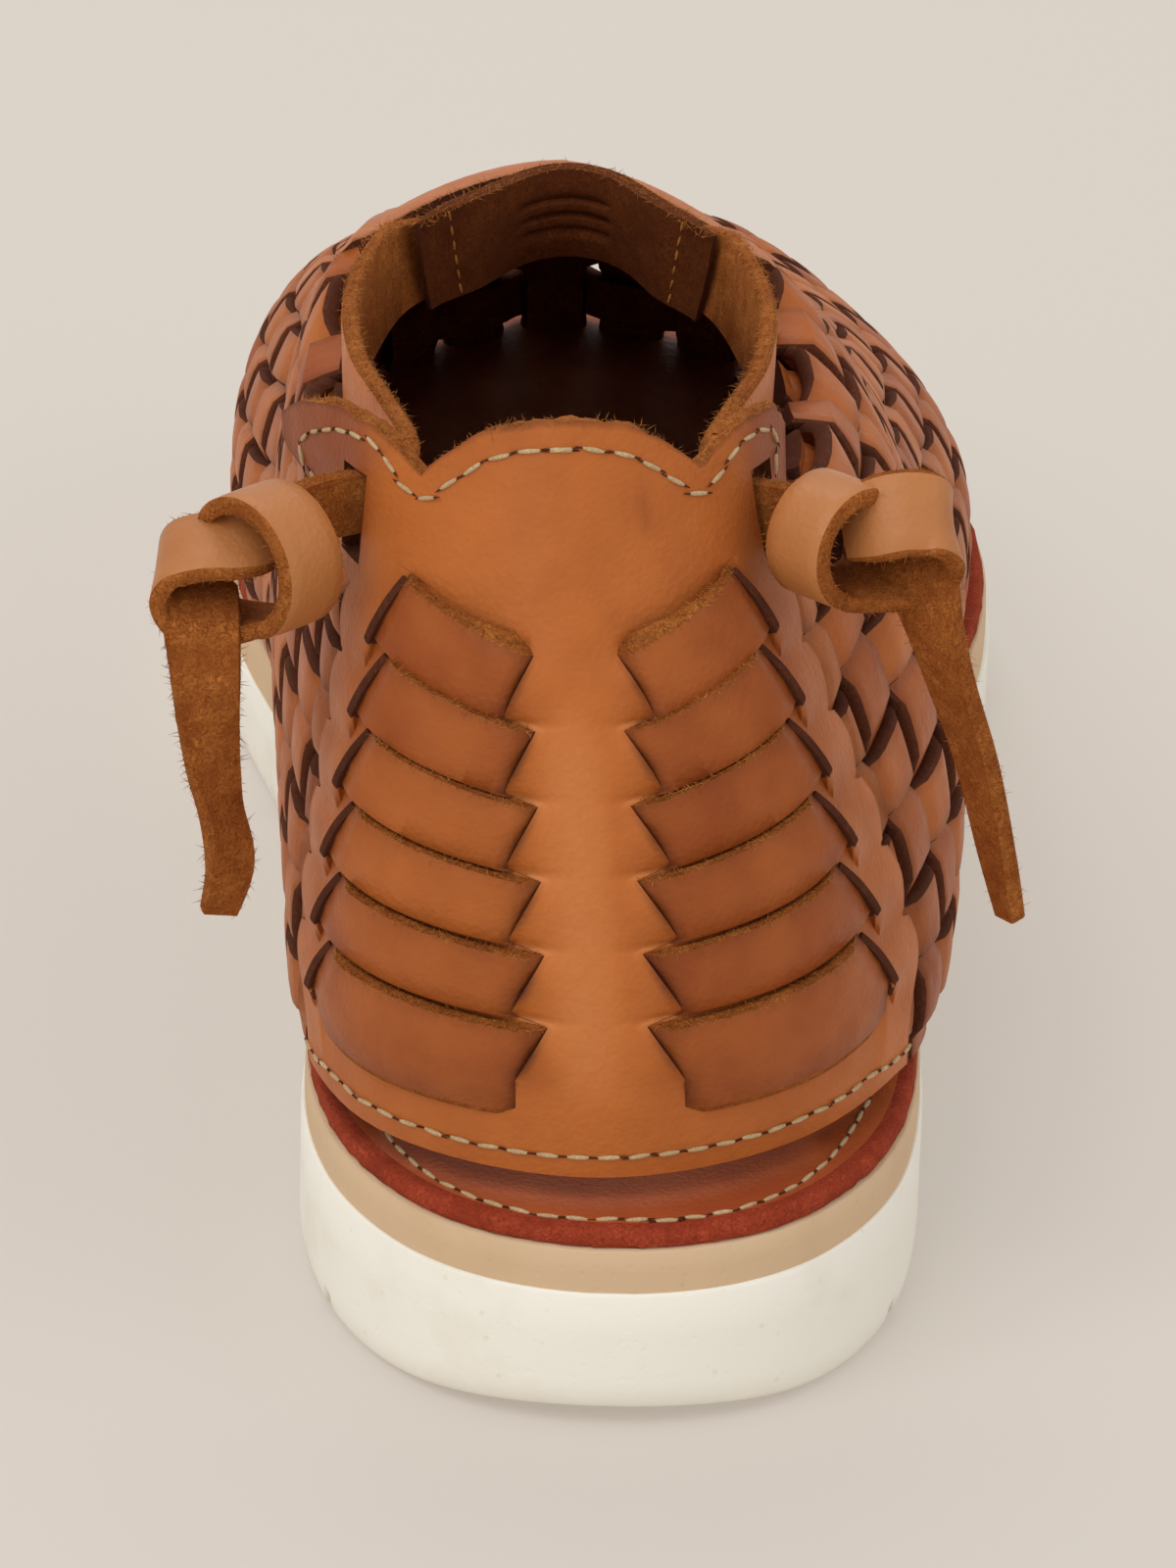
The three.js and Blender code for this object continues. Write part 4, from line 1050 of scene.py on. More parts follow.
class HUARACHE_OT_stage(bpy.types.Operator):
    """Camera, lights and a plain pale floor"""

    bl_idname = "huarache.stage"
    bl_label = "Stage"

    # Area lights: name, place, size, setting for its strength, share of that setting
    LIGHTS = (
        ("key_light", (-0.8, -1.0, 1.8), 1.4, "key", 1),
        ("fill_light", (1.3, -0.6, 1.1), 1.2, "fill", 1),
        ("sheen_light", (-0.55, -1.5, 0.3), 0.5, "sheen", 1),
        ("top_light", (-0.2, 0.8, 1.6), 1.0, "fill", 2),
    )
    SKY_COLOUR = (1.0, 0.99, 0.975, 1)
    SENSOR = 36
    FARTHEST = 20
    FLOOR_HALF = 4.0
    FLOOR_ROUGH = 0.9
    FLOOR_SHADE = 0.8
    FLOOR_PATCHES = 1.5
    FLOOR_UNEVEN = 0.06

    def execute(self, context):
        stage = context.scene.huarache.stage
        self.camera(context, stage)
        self.floor(context, stage)
        for name, place, size, setting, share in self.LIGHTS:
            self.light(context, name, place, size, share * getattr(stage, setting))
        world = bpy.data.worlds.new("studio")
        world.use_nodes = True
        values = {"Color": self.SKY_COLOUR, "Strength": stage.sky}
        set_inputs(world.node_tree, world.node_tree.nodes["Background"], values)
        context.scene.world = world
        context.scene.view_settings.view_transform = "Standard"
        return {"FINISHED"}

    def camera(self, context, stage):
        data = bpy.data.cameras.new("camera")
        data.sensor_width = self.SENSOR
        data.lens = stage.lens
        data.clip_end = self.FARTHEST
        camera = bpy.data.objects.new("camera", data)
        aim = Matrix.Rotation(-stage.heading, 4, "Z") @ Matrix.Rotation(math.pi / 2 - stage.dip, 4, "X")
        camera.matrix_world = Matrix.Translation(stage.place) @ aim @ Matrix.Rotation(stage.roll, 4, "Z")
        context.scene.collection.objects.link(camera)
        context.scene.camera = camera

    def floor(self, context, stage):
        material = bpy.data.materials.new("floor")
        material.use_nodes = True
        tree = material.node_tree
        spot = add_node(tree, "ShaderNodeTexCoord").outputs["Object"]
        tone = span(tree, noise(tree, spot, self.FLOOR_PATCHES), 0.3, 0.7, 0.0, self.FLOOR_UNEVEN)
        colour = tuple(context.scene.huarache.colours.floor)
        shade = tuple(self.FLOOR_SHADE * v for v in colour)
        set_inputs(tree, tree.nodes["Principled BSDF"], {
            "Base Color": tint(tree, tone, (*colour, 1), (*shade, 1)),
            "Roughness": self.FLOOR_ROUGH,
            "Emission Color": (*colour, 1),
            "Emission Strength": stage.glow,
        })
        mesh = bpy.data.meshes.new("floor")
        half = self.FLOOR_HALF
        corners = [(-half, -half, 0), (half, -half, 0), (half, half, 0), (-half, half, 0)]
        mesh.from_pydata(corners, [], [(0, 1, 2, 3)])
        mesh.materials.append(material)
        floor = bpy.data.objects.new("floor", mesh)
        context.scene.collection.objects.link(floor)

    def light(self, context, name, place, size, watts):
        data = bpy.data.lights.new(name, "AREA")
        data.size = size
        data.energy = watts
        lamp = bpy.data.objects.new(name, data)
        lamp.location = place
        lamp.rotation_euler = Vector(place).to_track_quat("Z", "Y").to_euler()
        context.scene.collection.objects.link(lamp)


class HUARACHE_OT_sole(bpy.types.Operator):
    """Outsole with its tread, tan midsole and stitched footbed"""

    bl_idname = "huarache.sole"
    bl_label = "Sole"

    STATIONS = 150
    ROUND_STEPS = 7
    TREAD_INSET = 1
    TOP_ROUND = 0.4
    TOP_INSET = 0.35
    LAYER_CLEAR = 0.02
    MIDSOLE_SWELL = 0.1
    MIDSOLE_ROUND = 0.3
    # Edge of the footbed from below: inset, share of its thickness
    FOOTBED_EDGE = ((1.6, 0), (1.2, 0.12), (1.0, 0.4), (1.15, 0.7), (1.5, 0.92), (2.2, 1.0))
    FOOTBED_FACE = 3.2
    RAGGED = 0.16
    STITCH_Y = (-145, -120, -60, 0)
    STITCH_INSET = (3.2, 6, 5.6, 4)
    STITCH_SKIP = 4

    def execute(self, context):
        y = -SOLE_END * np.cos(np.linspace(0, math.pi, self.STATIONS))
        self.outsole(y)
        self.midsole(y)
        self.footbed(y)
        return {"FINISHED"}

    def outsole(self, y):
        starts = TREAD_FROM + LUG_PITCH * np.arange(LUG_COUNT)
        corners = [starts + step for step in (0, GROOVE_RAMP, GROOVE - GROOVE_RAMP, GROOVE)]
        y = np.unique(np.round(np.concatenate([y, *corners]), 2))
        under = tread_floor(y) + groove(y)
        shoulder = tread_floor(y) + GROOVE_DEEP + EDGE_RISE
        rings = [sole_ring(y, EDGE_ROUND + self.TREAD_INSET, under)]
        for angle in np.linspace(0, math.pi / 2, self.ROUND_STEPS):
            height = mix(under, shoulder, 1 - math.cos(angle))
            rings.append(sole_ring(y, EDGE_ROUND * (1 - math.sin(angle)), height))
        top = outsole_top(y)
        rings.append(sole_ring(y, 0, mix(shoulder, top, 0.5)))
        rings.append(sole_ring(y, 0, top - self.TOP_ROUND))
        rings.append(sole_ring(y, self.TOP_INSET, top))
        piece = Piece()
        piece.layer(np.array(rings), GRAIN, GRAIN)
        piece.build("outsole_foam", ["outsole_foam"], "ivory_foam", "outsole")

    def midsole(self, y):
        low, high = outsole_top(y) + self.LAYER_CLEAR, midsole_top(y)
        rings = [
            sole_ring(y, MIDSOLE_INSET, low),
            sole_ring(y, MIDSOLE_INSET - self.MIDSOLE_SWELL, mix(low, high, 0.5)),
            sole_ring(y, MIDSOLE_INSET, high - self.MIDSOLE_ROUND),
            sole_ring(y, MIDSOLE_INSET + self.MIDSOLE_ROUND, high),
        ]
        piece = Piece()
        piece.layer(np.array(rings), GRAIN, GRAIN)
        piece.build("midsole_layer", ["midsole_foam"], "tan_midsole", "midsole")

    def footbed(self, y):
        low, high = midsole_top(y) + self.LAYER_CLEAR, insole_top(y)
        chance = np.random.default_rng(SEED)
        rings = []
        for inset, share in self.FOOTBED_EDGE:
            ring = sole_ring(y, inset, mix(low, high, share))
            ring[:, :2] += chance.uniform(-self.RAGGED, self.RAGGED, (len(ring), 2))
            rings.append(ring)
        rings.append(sole_ring(y, self.FOOTBED_FACE, high))
        piece = Piece()
        piece.layer(np.array(rings), EDGE, GRAIN)
        piece.build("footbed", ["footbed_grain", "footbed_edge"], "footbed_leather", "insole")
        y = y[self.STITCH_SKIP:-self.STITCH_SKIP]
        inset = np.interp(y, self.STITCH_Y, self.STITCH_INSET)
        line = sole_ring(y, inset, insole_top(y) + THREAD_LIFT)
        THREAD_LINES.append(np.concatenate([line, line[:1]]))


class HUARACHE_OT_weave(bpy.types.Operator):
    """Uprights and rounds woven over and under each other round the foot"""

    bl_idname = "huarache.weave"
    bl_label = "Weave"

    COUNTER_SINK = 1.15
    COUNTER_FROM = 0.06
    COUNTER_RUN = 0.2
    PLUG_SINK = 1.1
    PLUG_FROM = 0.86
    PLUG_RUN = 0.1
    PLUG_FADE = 0.3
    COLLAR_SINK = 2.2
    COLLAR_FROM = 0.95
    COLLAR_RUN = 0.04
    COLLAR_FADE = 0.1
    ROOT_RUN = 0.1
    ROOT_DROP = 0.3
    END_MARGIN = 0.1
    DRIFT = 0.04
    SWAY = 0.03
    SWAY_RATE = 0.9
    EDGE_WEAR = 0.5
    # Painted shade: the straps darken towards the heel counter's front edge, which shades them
    COUNTER_SHADE = 0.35
    COUNTER_SHADE_FROM = 0.12
    COUNTER_SHADE_RUN = 0.4
    UPRIGHT_TONES = (0, 0.55)
    ROUND_TONES = (0.05, 0.5)

    def execute(self, context):
        sizes = context.scene.huarache.sizes
        self.thick = sizes.strap_thick / MM
        self.rise = sizes.weave_rise / MM
        self.half = sizes.strap_share / 2
        self.chance = np.random.default_rng(SEED)
        piece = Piece()
        for column in range(COLUMNS):
            self.upright(piece, column)
        for band in range(BANDS):
            self.round(piece, band)
        piece.build("woven_straps", LEATHERS, "woven_leather", "upper")
        return {"FINISHED"}

    def wave(self, at):
        """1 where a strap lies on top, -1 where it lies beneath."""
        c = np.cos(np.pi * at)
        return np.sign(c) * (1 - (1 - np.abs(c)) ** WEAVE_SHARP)

    def ahead(self, t, share):
        """Distance in front of the counter's edge."""
        return np.minimum(t, ROUND - t) - front_at(share * wall_top(t))

    def level(self, t, share, over):
        """Height of the strap's middle off the wall, sunk beside the counter and under the plug."""
        near = np.minimum(t, ROUND - t)
        high = WEAVE_MID + self.rise * over
        tuck = smooth((share - self.PLUG_FROM) / self.PLUG_RUN)
        high = high - self.PLUG_SINK * tuck * smooth((near - PLUG_START) / self.PLUG_FADE)
        free = smooth((self.ahead(t, share) - self.COUNTER_FROM) / self.COUNTER_RUN)
        return mix(WEAVE_MID - self.COUNTER_SINK, high, free)

    def rings(self, t, share, level):
        return wall_off(t, share * wall_top(t), level + STRAP_PROFILE[None, :, 1] * self.thick / 2)

    def wear(self, t, share):
        """Burnishing of the straps' edges, and painted shade on the straps beside the counter's front edge.
        """
        counter_shade = 1 - smooth((self.ahead(t, share) - self.COUNTER_SHADE_FROM) / self.COUNTER_SHADE_RUN)
        return np.clip(self.EDGE_WEAR * PROFILE_BURNISH[None] + self.COUNTER_SHADE * counter_shade, 0, 1)

    def upright(self, piece, column):
        share = np.linspace(0, 1, BANDS * STEPS_PER_CROSSING + 1)[:, None]
        drift = self.chance.uniform(-self.DRIFT, self.DRIFT)
        across = STRAP_PROFILE[None, :, 0] * self.half + drift
        t, share = np.broadcast_arrays(place_at(column + 0.5 + across), share)
        near = np.minimum(t, ROUND - t)
        over = self.wave(share * BANDS - 0.5 + column)
        collar = smooth((share - self.COLLAR_FROM) / self.COLLAR_RUN)
        collar = collar * smooth((PLUG_START - near) / self.COLLAR_FADE)
        rings = self.rings(t, share, self.level(t, share, over) - self.COLLAR_SINK * collar)
        root = rings[:1].copy()
        out = smooth((near[:1] - front_at(0)) / self.ROOT_RUN)
        root[..., 2] = mix(root[..., 2], insole_top(root[..., 1]), out) - self.ROOT_DROP
        # Burnish holds the burnished edges and the painted shade beside the counter
        wear = self.wear(t, share)
        tone = self.chance.uniform(*self.UPRIGHT_TONES)
        piece.strap(np.concatenate([root, rings]), tone=tone, burnish=np.concatenate([wear[:1], wear]))

    def round(self, piece, band):
        steps = (COLUMNS - 1) * STEPS_PER_CROSSING
        at = np.linspace(self.END_MARGIN, COLUMNS - self.END_MARGIN, steps)[:, None]
        across = STRAP_PROFILE[None, :, 0] * self.half
        sway = self.SWAY * np.sin(at * self.SWAY_RATE + band)
        t, share = np.broadcast_arrays(place_at(at), (band + 0.5 + across + sway) / BANDS)
        over = np.broadcast_to(self.wave(at + band + 0.5), t.shape)
        rings = self.rings(t, share, self.level(t, share, over))
        piece.strap(rings, tone=self.chance.uniform(*self.ROUND_TONES), burnish=self.wear(t, share))


class HUARACHE_OT_vamp(bpy.types.Operator):
    """Plain vamp plug whose toothed edge covers the strap ends"""

    bl_idname = "huarache.vamp"
    bl_label = "Vamp plug"

    STEPS = 230
    ACROSS_STEPS = 19
    ACROSS_MARGIN = 0.03
    TOE_GAP = 0.06
    LIP_STEPS = 5
    LIP_DEEP = 0.11
    LIP_MARGIN = 0.02
    LIP_TURN = 0.82
    LIFT = 2.0
    SINK = 0.6
    THICK = 1.8
    SIDE_WEAR = 0.6
    BACK_WEAR = 0.4
    CREASE = 0.25
    CREASE_ALONG = 5
    CREASE_ACROSS = 9
    CREASE_FROM = 5
    CREASE_RUN = 2

    def execute(self, context):
        first, last = column_at(PLUG_START), column_at(ROUND / 2 - self.TOE_GAP)
        t = place_at(np.linspace(first, last, self.STEPS))
        outer = self.surface(t, 0)
        inner = self.surface(t, -self.THICK)
        piece = Piece()
        wear = np.zeros(outer.shape[:2])
        wear[:, :2] = self.SIDE_WEAR
        wear[:, -2:] = self.SIDE_WEAR
        wear[:2] = self.BACK_WEAR
        piece.panel(outer, inner, GRAIN, burnish=wear)
        piece.build("vamp_plug", LEATHERS, "woven_leather", "upper")
        NAP_LINES.append(outer[0])
        return {"FINISHED"}

    def tooth(self, part):
        """Depth of the lip along one column, from its back to its front."""
        rise = np.minimum(part / self.LIP_TURN, (1 - part) / (1 - self.LIP_TURN))
        return self.LIP_MARGIN + self.LIP_DEEP * np.clip(rise, 0, 1)

    def surface(self, t, off):
        t = t[:, None]
        lip = np.linspace(1, 0, self.LIP_STEPS)[None]
        across = np.linspace(self.ACROSS_MARGIN, 1 - self.ACROSS_MARGIN, self.ACROSS_STEPS)[None]
        back = np.mod(column_at(t), 1)
        front = np.mod(-column_at(ROUND - t), 1)
        level = np.full((len(t), self.LIP_STEPS), off + self.LIFT)
        right = wall_off(t, 1 - lip * self.tooth(back), level)
        left = wall_off(ROUND - t, 1 - lip[:, ::-1] * self.tooth(front), level)
        crease = self.CREASE * np.sin(self.CREASE_ALONG * t + self.CREASE_ACROSS * across)
        crease = crease * smooth((t - self.CREASE_FROM) / self.CREASE_RUN)
        middle = plug_off(t, across, off + self.LIFT - self.SINK + crease)
        return np.concatenate([right, middle, left], axis=1)


class HUARACHE_OT_counter(bpy.types.Operator):
    """Heel counter with lifted slits and twelve strap ends threaded through them"""

    bl_idname = "huarache.counter"
    bl_label = "Heel counter"

    # Sheet: steps of its grid, and ragged top edge
    STEP = 0.006
    ROW_STEPS = 8
    CELL = 0.06
    RAGGED = 0.25
    RAGGED_INSIDE = 0.35
    # Relief: fading of the threaded field, lips, and pressed ground
    FADE_LOW = 0.8
    FADE_HIGH = 0.6
    FADE_RUN = 0.5
    LIP_RUN = 0.5
    CENTRE_LIP = 1.3
    CENTRE_RUN = 0.25
    PRESS = 0.3
    PRESS_AT = 1.5
    SINK = 0.2
    # Wear: pale spine and slit ends, burnished slits and rim, and a scuff; painted shade darkens each ear
    SPINE = 0.38
    SPINE_WIDE = 0.2
    SPINE_TOP = 0.74
    STRESS = 0.7
    STRESS_AT = 0.92
    STRESS_WIDE = 0.14
    STRESS_POWER = 4
    PALEST = 0.9
    # Painted shade: each ear's colour moves towards the darker leather colour, for the shade on its tilted
    # face
    EAR_SHADE = 0.8
    EAR_SHADE_FROM = 1.1
    EAR_SHADE_RUN = 0.4
    EAR_SHADE_FADE = 0.5
    SLIT_RUN = 0.06
    RIM = 0.6
    RIM_RUN = 0.12
    SIDE_RIM = 0.4
    SIDE_RIM_RUN = 0.04
    SCUFF = 0.22
    SCUFF_AT = 0.46
    SCUFF_WIDE = 0.03
    SCUFF_SHARES = (0.84, 0.95)
    SCUFF_RUN = 0.04
    # Cut edges of the outer slits
    LIP_STEPS = 16
    LIP_ROWS = (1.94, 0.86)
    LIP_REACH = 2.015
    LIP_BOW = 0.05
    LIP_LEVEL = 0.5
    LIP_RISE = 0.75
    LIP_LEAN = 0.9
    LIP_WIDE = 1.7
    LIP_SWELL = 1.1
    LIP_END = 0.25
    LIP_THICK = 0.9
    # Strap ends
    END_STEPS = 40
    END_REACH = (0.93, 2.1)
    END_TALL = 1.5
    END_SHIFT = 0.1
    SWELL_POWER = 0.6
    LIE = 1.5
    BOW = 0.5
    TILT = 0.9
    UNEVEN = 0.12
    INNER_SWELL = 1.1
    INNER_SINK = 0.35
    INNER_DIVE = 30
    INNER_RUN = 0.09
    OUTER_SWELL = 1.5
    OUTER_SINK = 0.4
    OUTER_DIVE = 20
    OUTER_RUN = 0.14
    END_WEAR = 0.9
    END_WEAR_RUN = 0.03
    EDGE_WEAR = 0.35
    END_TONES = (0.15, 0.6)
    NAP_POINTS = (4, 5, 5, 6)
    NAP_SPAN = slice(3, -4)
    # Lines of nap and thread; stitches as place, share
    LINE_STEPS = 60
    LINE_REACH = 2.93
    RIM_DEEP = 0.8
    RIM_SHIFTS = (0, 0, 0.7, -0.7)
    HEM_STITCH = 0.24
    STITCH = (
        (0, 0.964), (0.3, 0.964), (0.5, 0.952), (0.65, 0.934), (0.8, 0.914), (0.9, 0.918), (1.05, 0.945),
    )
    STITCH_OUTER = ((1.25, 0.97), (1.5, 0.97), (1.62, 0.954), (1.64, 0.935), (1.62, 0.91))
    STITCH_INNER = ((1.25, 0.974), (1.46, 0.972), (1.7, 0.958), (1.95, 0.932), (2.02, 0.9), (1.93, 0.862))

    def execute(self, context):
        sizes = context.scene.huarache.sizes
        self.thick = sizes.counter_strap / MM
        self.lip = sizes.lip / MM
        self.chance = np.random.default_rng(SEED)
        piece = Piece()
        self.sheet(piece)
        for side in (-1, 1):
            for strap in range(STRAP_COUNT):
                self.strap_end(piece, side, strap)
                self.lip_edge(piece, side, strap)
        piece.build("heel_counter_leather", LEATHERS, "counter_leather", "heel_counter")
        self.lines()
        return {"FINISHED"}

    def lens(self, row):
        """Swell of a slit between the lower and upper edge of its strap."""
        part = np.mod(row - 1, 2)
        inside = (row > 1) & (row < STRAP_ROWS) & (part < 1)
        return np.where(inside, np.sin(np.pi * np.clip(part, 0, 1)), 0)

    def raise_at(self, row, reach):
        """Height of the sheet: lips lift over the strap ends and the ground sinks under the straps."""
        k = np.abs(reach)
        lens = self.lens(row)
        threaded = smooth(row / self.FADE_LOW) * smooth((STRAP_ROWS + self.FADE_HIGH - row) / self.FADE_RUN)
        margin = self.lip * lens * np.exp(-(k - 2) / self.LIP_RUN)
        pressed = self.PRESS * np.cos(np.pi * (row - self.PRESS_AT)) * smooth(k) * threaded
        centre = self.CENTRE_LIP * lens * np.exp(-(1 - k) / self.CENTRE_RUN) + pressed
        return np.where(k >= 2, margin, np.where(k <= 1, centre, -self.SINK * threaded))

    def grid(self):
        """Rows and reaches of the sheet, with a narrow step across each slit."""
        near, far = SLIT_STOPS
        half = np.concatenate([
            np.linspace(0, 1 - self.STEP, 8),
            np.linspace(1 + self.STEP, 2 - self.STEP, 12),
            np.linspace(2 + self.STEP, near, 4),
            np.linspace(near, far, 5)[1:],
            np.linspace(far, 3, 6)[1:],
        ])
        reach = np.concatenate([-half[::-1], half[1:]])
        rows = [np.linspace(i, i + 1, self.ROW_STEPS, endpoint=False) for i in range(TOP_ROW)]
        return np.meshgrid(np.concatenate([*rows, [TOP_ROW]]), reach, indexing="ij")

    def tone(self, row, k, t, share):
        """Pale stretched spine and slit ends, and painted shade that darkens each ear."""
        spine = bell(t, 0, self.SPINE_WIDE) * window(share, 0, self.SPINE_TOP, self.SPINE_WIDE)
        between = np.cos(np.pi * (row - 0.5) / 2) ** self.STRESS_POWER
        between = between * ((row > 1) & (row < STRAP_ROWS))
        stress = between * bell(k, self.STRESS_AT, self.STRESS_WIDE)
        ear_shade = smooth((np.abs(t) - self.EAR_SHADE_FROM) / self.EAR_SHADE_RUN)
        ear_shade = ear_shade * smooth((row - TOP_ROW + 2) / self.EAR_SHADE_FADE)
        pale = np.clip(self.SPINE * spine + self.STRESS * stress, 0, self.PALEST)
        return self.EAR_SHADE * ear_shade - self.PALEST * pale

    def burnish(self, row, k, t, share):
        """Dye gathered at the slits and the rim, and a scuff."""
        wear = self.lens(row) * np.exp(-np.minimum(np.abs(k - 1), np.abs(k - 2)) / self.SLIT_RUN)
        rim = self.RIM * smooth((row - TOP_ROW + self.RIM_RUN) / self.RIM_RUN)
        rim = rim + self.SIDE_RIM * smooth((k - 3 + self.SIDE_RIM_RUN) / self.SIDE_RIM_RUN)
        scuff = bell(t, self.SCUFF_AT, self.SCUFF_WIDE) * window(share, *self.SCUFF_SHARES, self.SCUFF_RUN)
        return np.clip(wear + rim + self.SCUFF * scuff, 0, 1)

    def sheet(self, piece):
        row, reach = self.grid()
        outer = counter_point(row, reach, self.raise_at(row, reach))
        inner = counter_point(row, reach, np.full(row.shape, -COUNTER_THICK))
        outer[-1] += self.chance.uniform(-self.RAGGED, self.RAGGED, outer[-1].shape)
        inner[-1] += self.chance.uniform(-self.RAGGED, self.RAGGED_INSIDE, inner[-1].shape)
        k = np.abs(reach)
        cell_k = (k[:-1, :-1] + k[:-1, 1:]) / 2
        cell_row = row[:-1, :-1] + self.CELL
        cut = (np.abs(cell_k - 2) < self.STEP) | (np.abs(cell_k - 1) < self.STEP)
        finish = np.where(cut & (cell_row > 1) & (cell_row < STRAP_ROWS), EDGE, GRAIN)
        near, far = SLIT_STOPS
        holes = (cell_k > near) & (cell_k < far) & (cell_row > TOP_ROW - 2) & (cell_row < TOP_ROW - 1)
        place = (row, k, *counter_place(row, reach))
        tone = self.tone(*place)
        piece.panel(outer, inner, finish, FLESH, holes, np.concatenate([tone, tone]), self.burnish(*place))

    def lip_edge(self, piece, side, strap):
        """Dark cut edge of the slit that a strap's outer end goes under."""
        first, last = self.LIP_ROWS
        row = np.linspace(2 * strap + first, 2 * strap + last, self.LIP_STEPS)
        bow = np.sin(np.pi * np.linspace(0, 1, self.LIP_STEPS))
        reach = self.LIP_REACH + self.LIP_BOW * bow
        level = self.LIP_LEVEL + self.LIP_RISE * bow
        points = counter_point(row, side * reach, level)
        out = unit(counter_point(row, side * (reach + self.LIP_BOW), level) - points)
        up = unit(counter_point(row, side * reach, level + 1) - points)
        width = self.LIP_WIDE * np.clip(self.LIP_SWELL * bow + self.LIP_END, 0, 1)
        rings = ribbon_rings(points, side * (out + self.LIP_LEAN * up), width, self.LIP_THICK)
        piece.strap(rings, CUT_FINISH)

    def strap_end(self, piece, side, strap):
        """One strap from its inner slit to its outer slit; its upper edge stands proud of the strap above."""
        half = COUNTER_PROFILE[None, :, 0] * 0.5
        reach = np.linspace(*self.END_REACH, self.END_STEPS)[:, None]
        row = 2 * strap + 1.5 + half * self.END_TALL - self.END_SHIFT
        row, reach = np.broadcast_arrays(row, reach)
        along = np.clip(reach - 1, 0, 1)
        swell = np.clip(1 - (2 * half) ** 2, 0, 1) ** self.SWELL_POWER
        lying = self.LIE + self.BOW * np.sin(np.pi * along) + self.TILT * half * 2
        lying = lying + self.chance.uniform(-self.UNEVEN, self.UNEVEN)
        inner = self.INNER_SWELL * swell - self.INNER_SINK - self.INNER_DIVE * np.maximum(0, 1 - reach)
        outer = self.OUTER_SWELL * swell - self.OUTER_SINK - self.OUTER_DIVE * np.maximum(0, reach - 2)
        top = mix(inner, lying, smooth((reach - 1) / self.INNER_RUN))
        top = mix(top, outer, smooth((reach - 2 + self.OUTER_RUN) / self.OUTER_RUN))
        level = top + (COUNTER_PROFILE[None, :, 1] - 1) * self.thick / 2
        rings = counter_point(row, side * reach, level)
        ends = np.exp(-along / self.END_WEAR_RUN) + np.exp(-(1 - along) / self.END_WEAR_RUN)
        wear = self.EDGE_WEAR * PROFILE_BURNISH[None] + self.END_WEAR * np.clip(ends, 0, 1)
        piece.strap(rings, NAPPED_FINISH, self.chance.uniform(*self.END_TONES), np.clip(wear, 0, 1))
        for point in self.NAP_POINTS:
            NAP_LINES.append(rings[self.NAP_SPAN, point])

    def lines(self):
        half = np.linspace(0, self.LINE_REACH, self.LINE_STEPS)
        reach = np.concatenate([-half[::-1], half[1:]])
        flat = np.ones(reach.shape)
        top = counter_point(flat * TOP_ROW, reach, flat * -self.RIM_DEEP)
        for shift in self.RIM_SHIFTS:
            NAP_LINES.append(top + np.array([0, shift, 0]))
        for side, ear in ((1, self.STITCH_OUTER), (-1, self.STITCH_INNER)):
            stops = self.STITCH + ear
            place, share = table_at(stops, np.linspace(0, len(stops) - 1, self.LINE_STEPS)).T
            off = COUNTER_OFF + COUNTER_THICK + THREAD_LIFT + ear_flare(side * place, share)
            THREAD_LINES.append(wall_off(side * place, share, off))
        THREAD_LINES.append(counter_point(flat * self.HEM_STITCH, reach, flat * THREAD_LIFT))


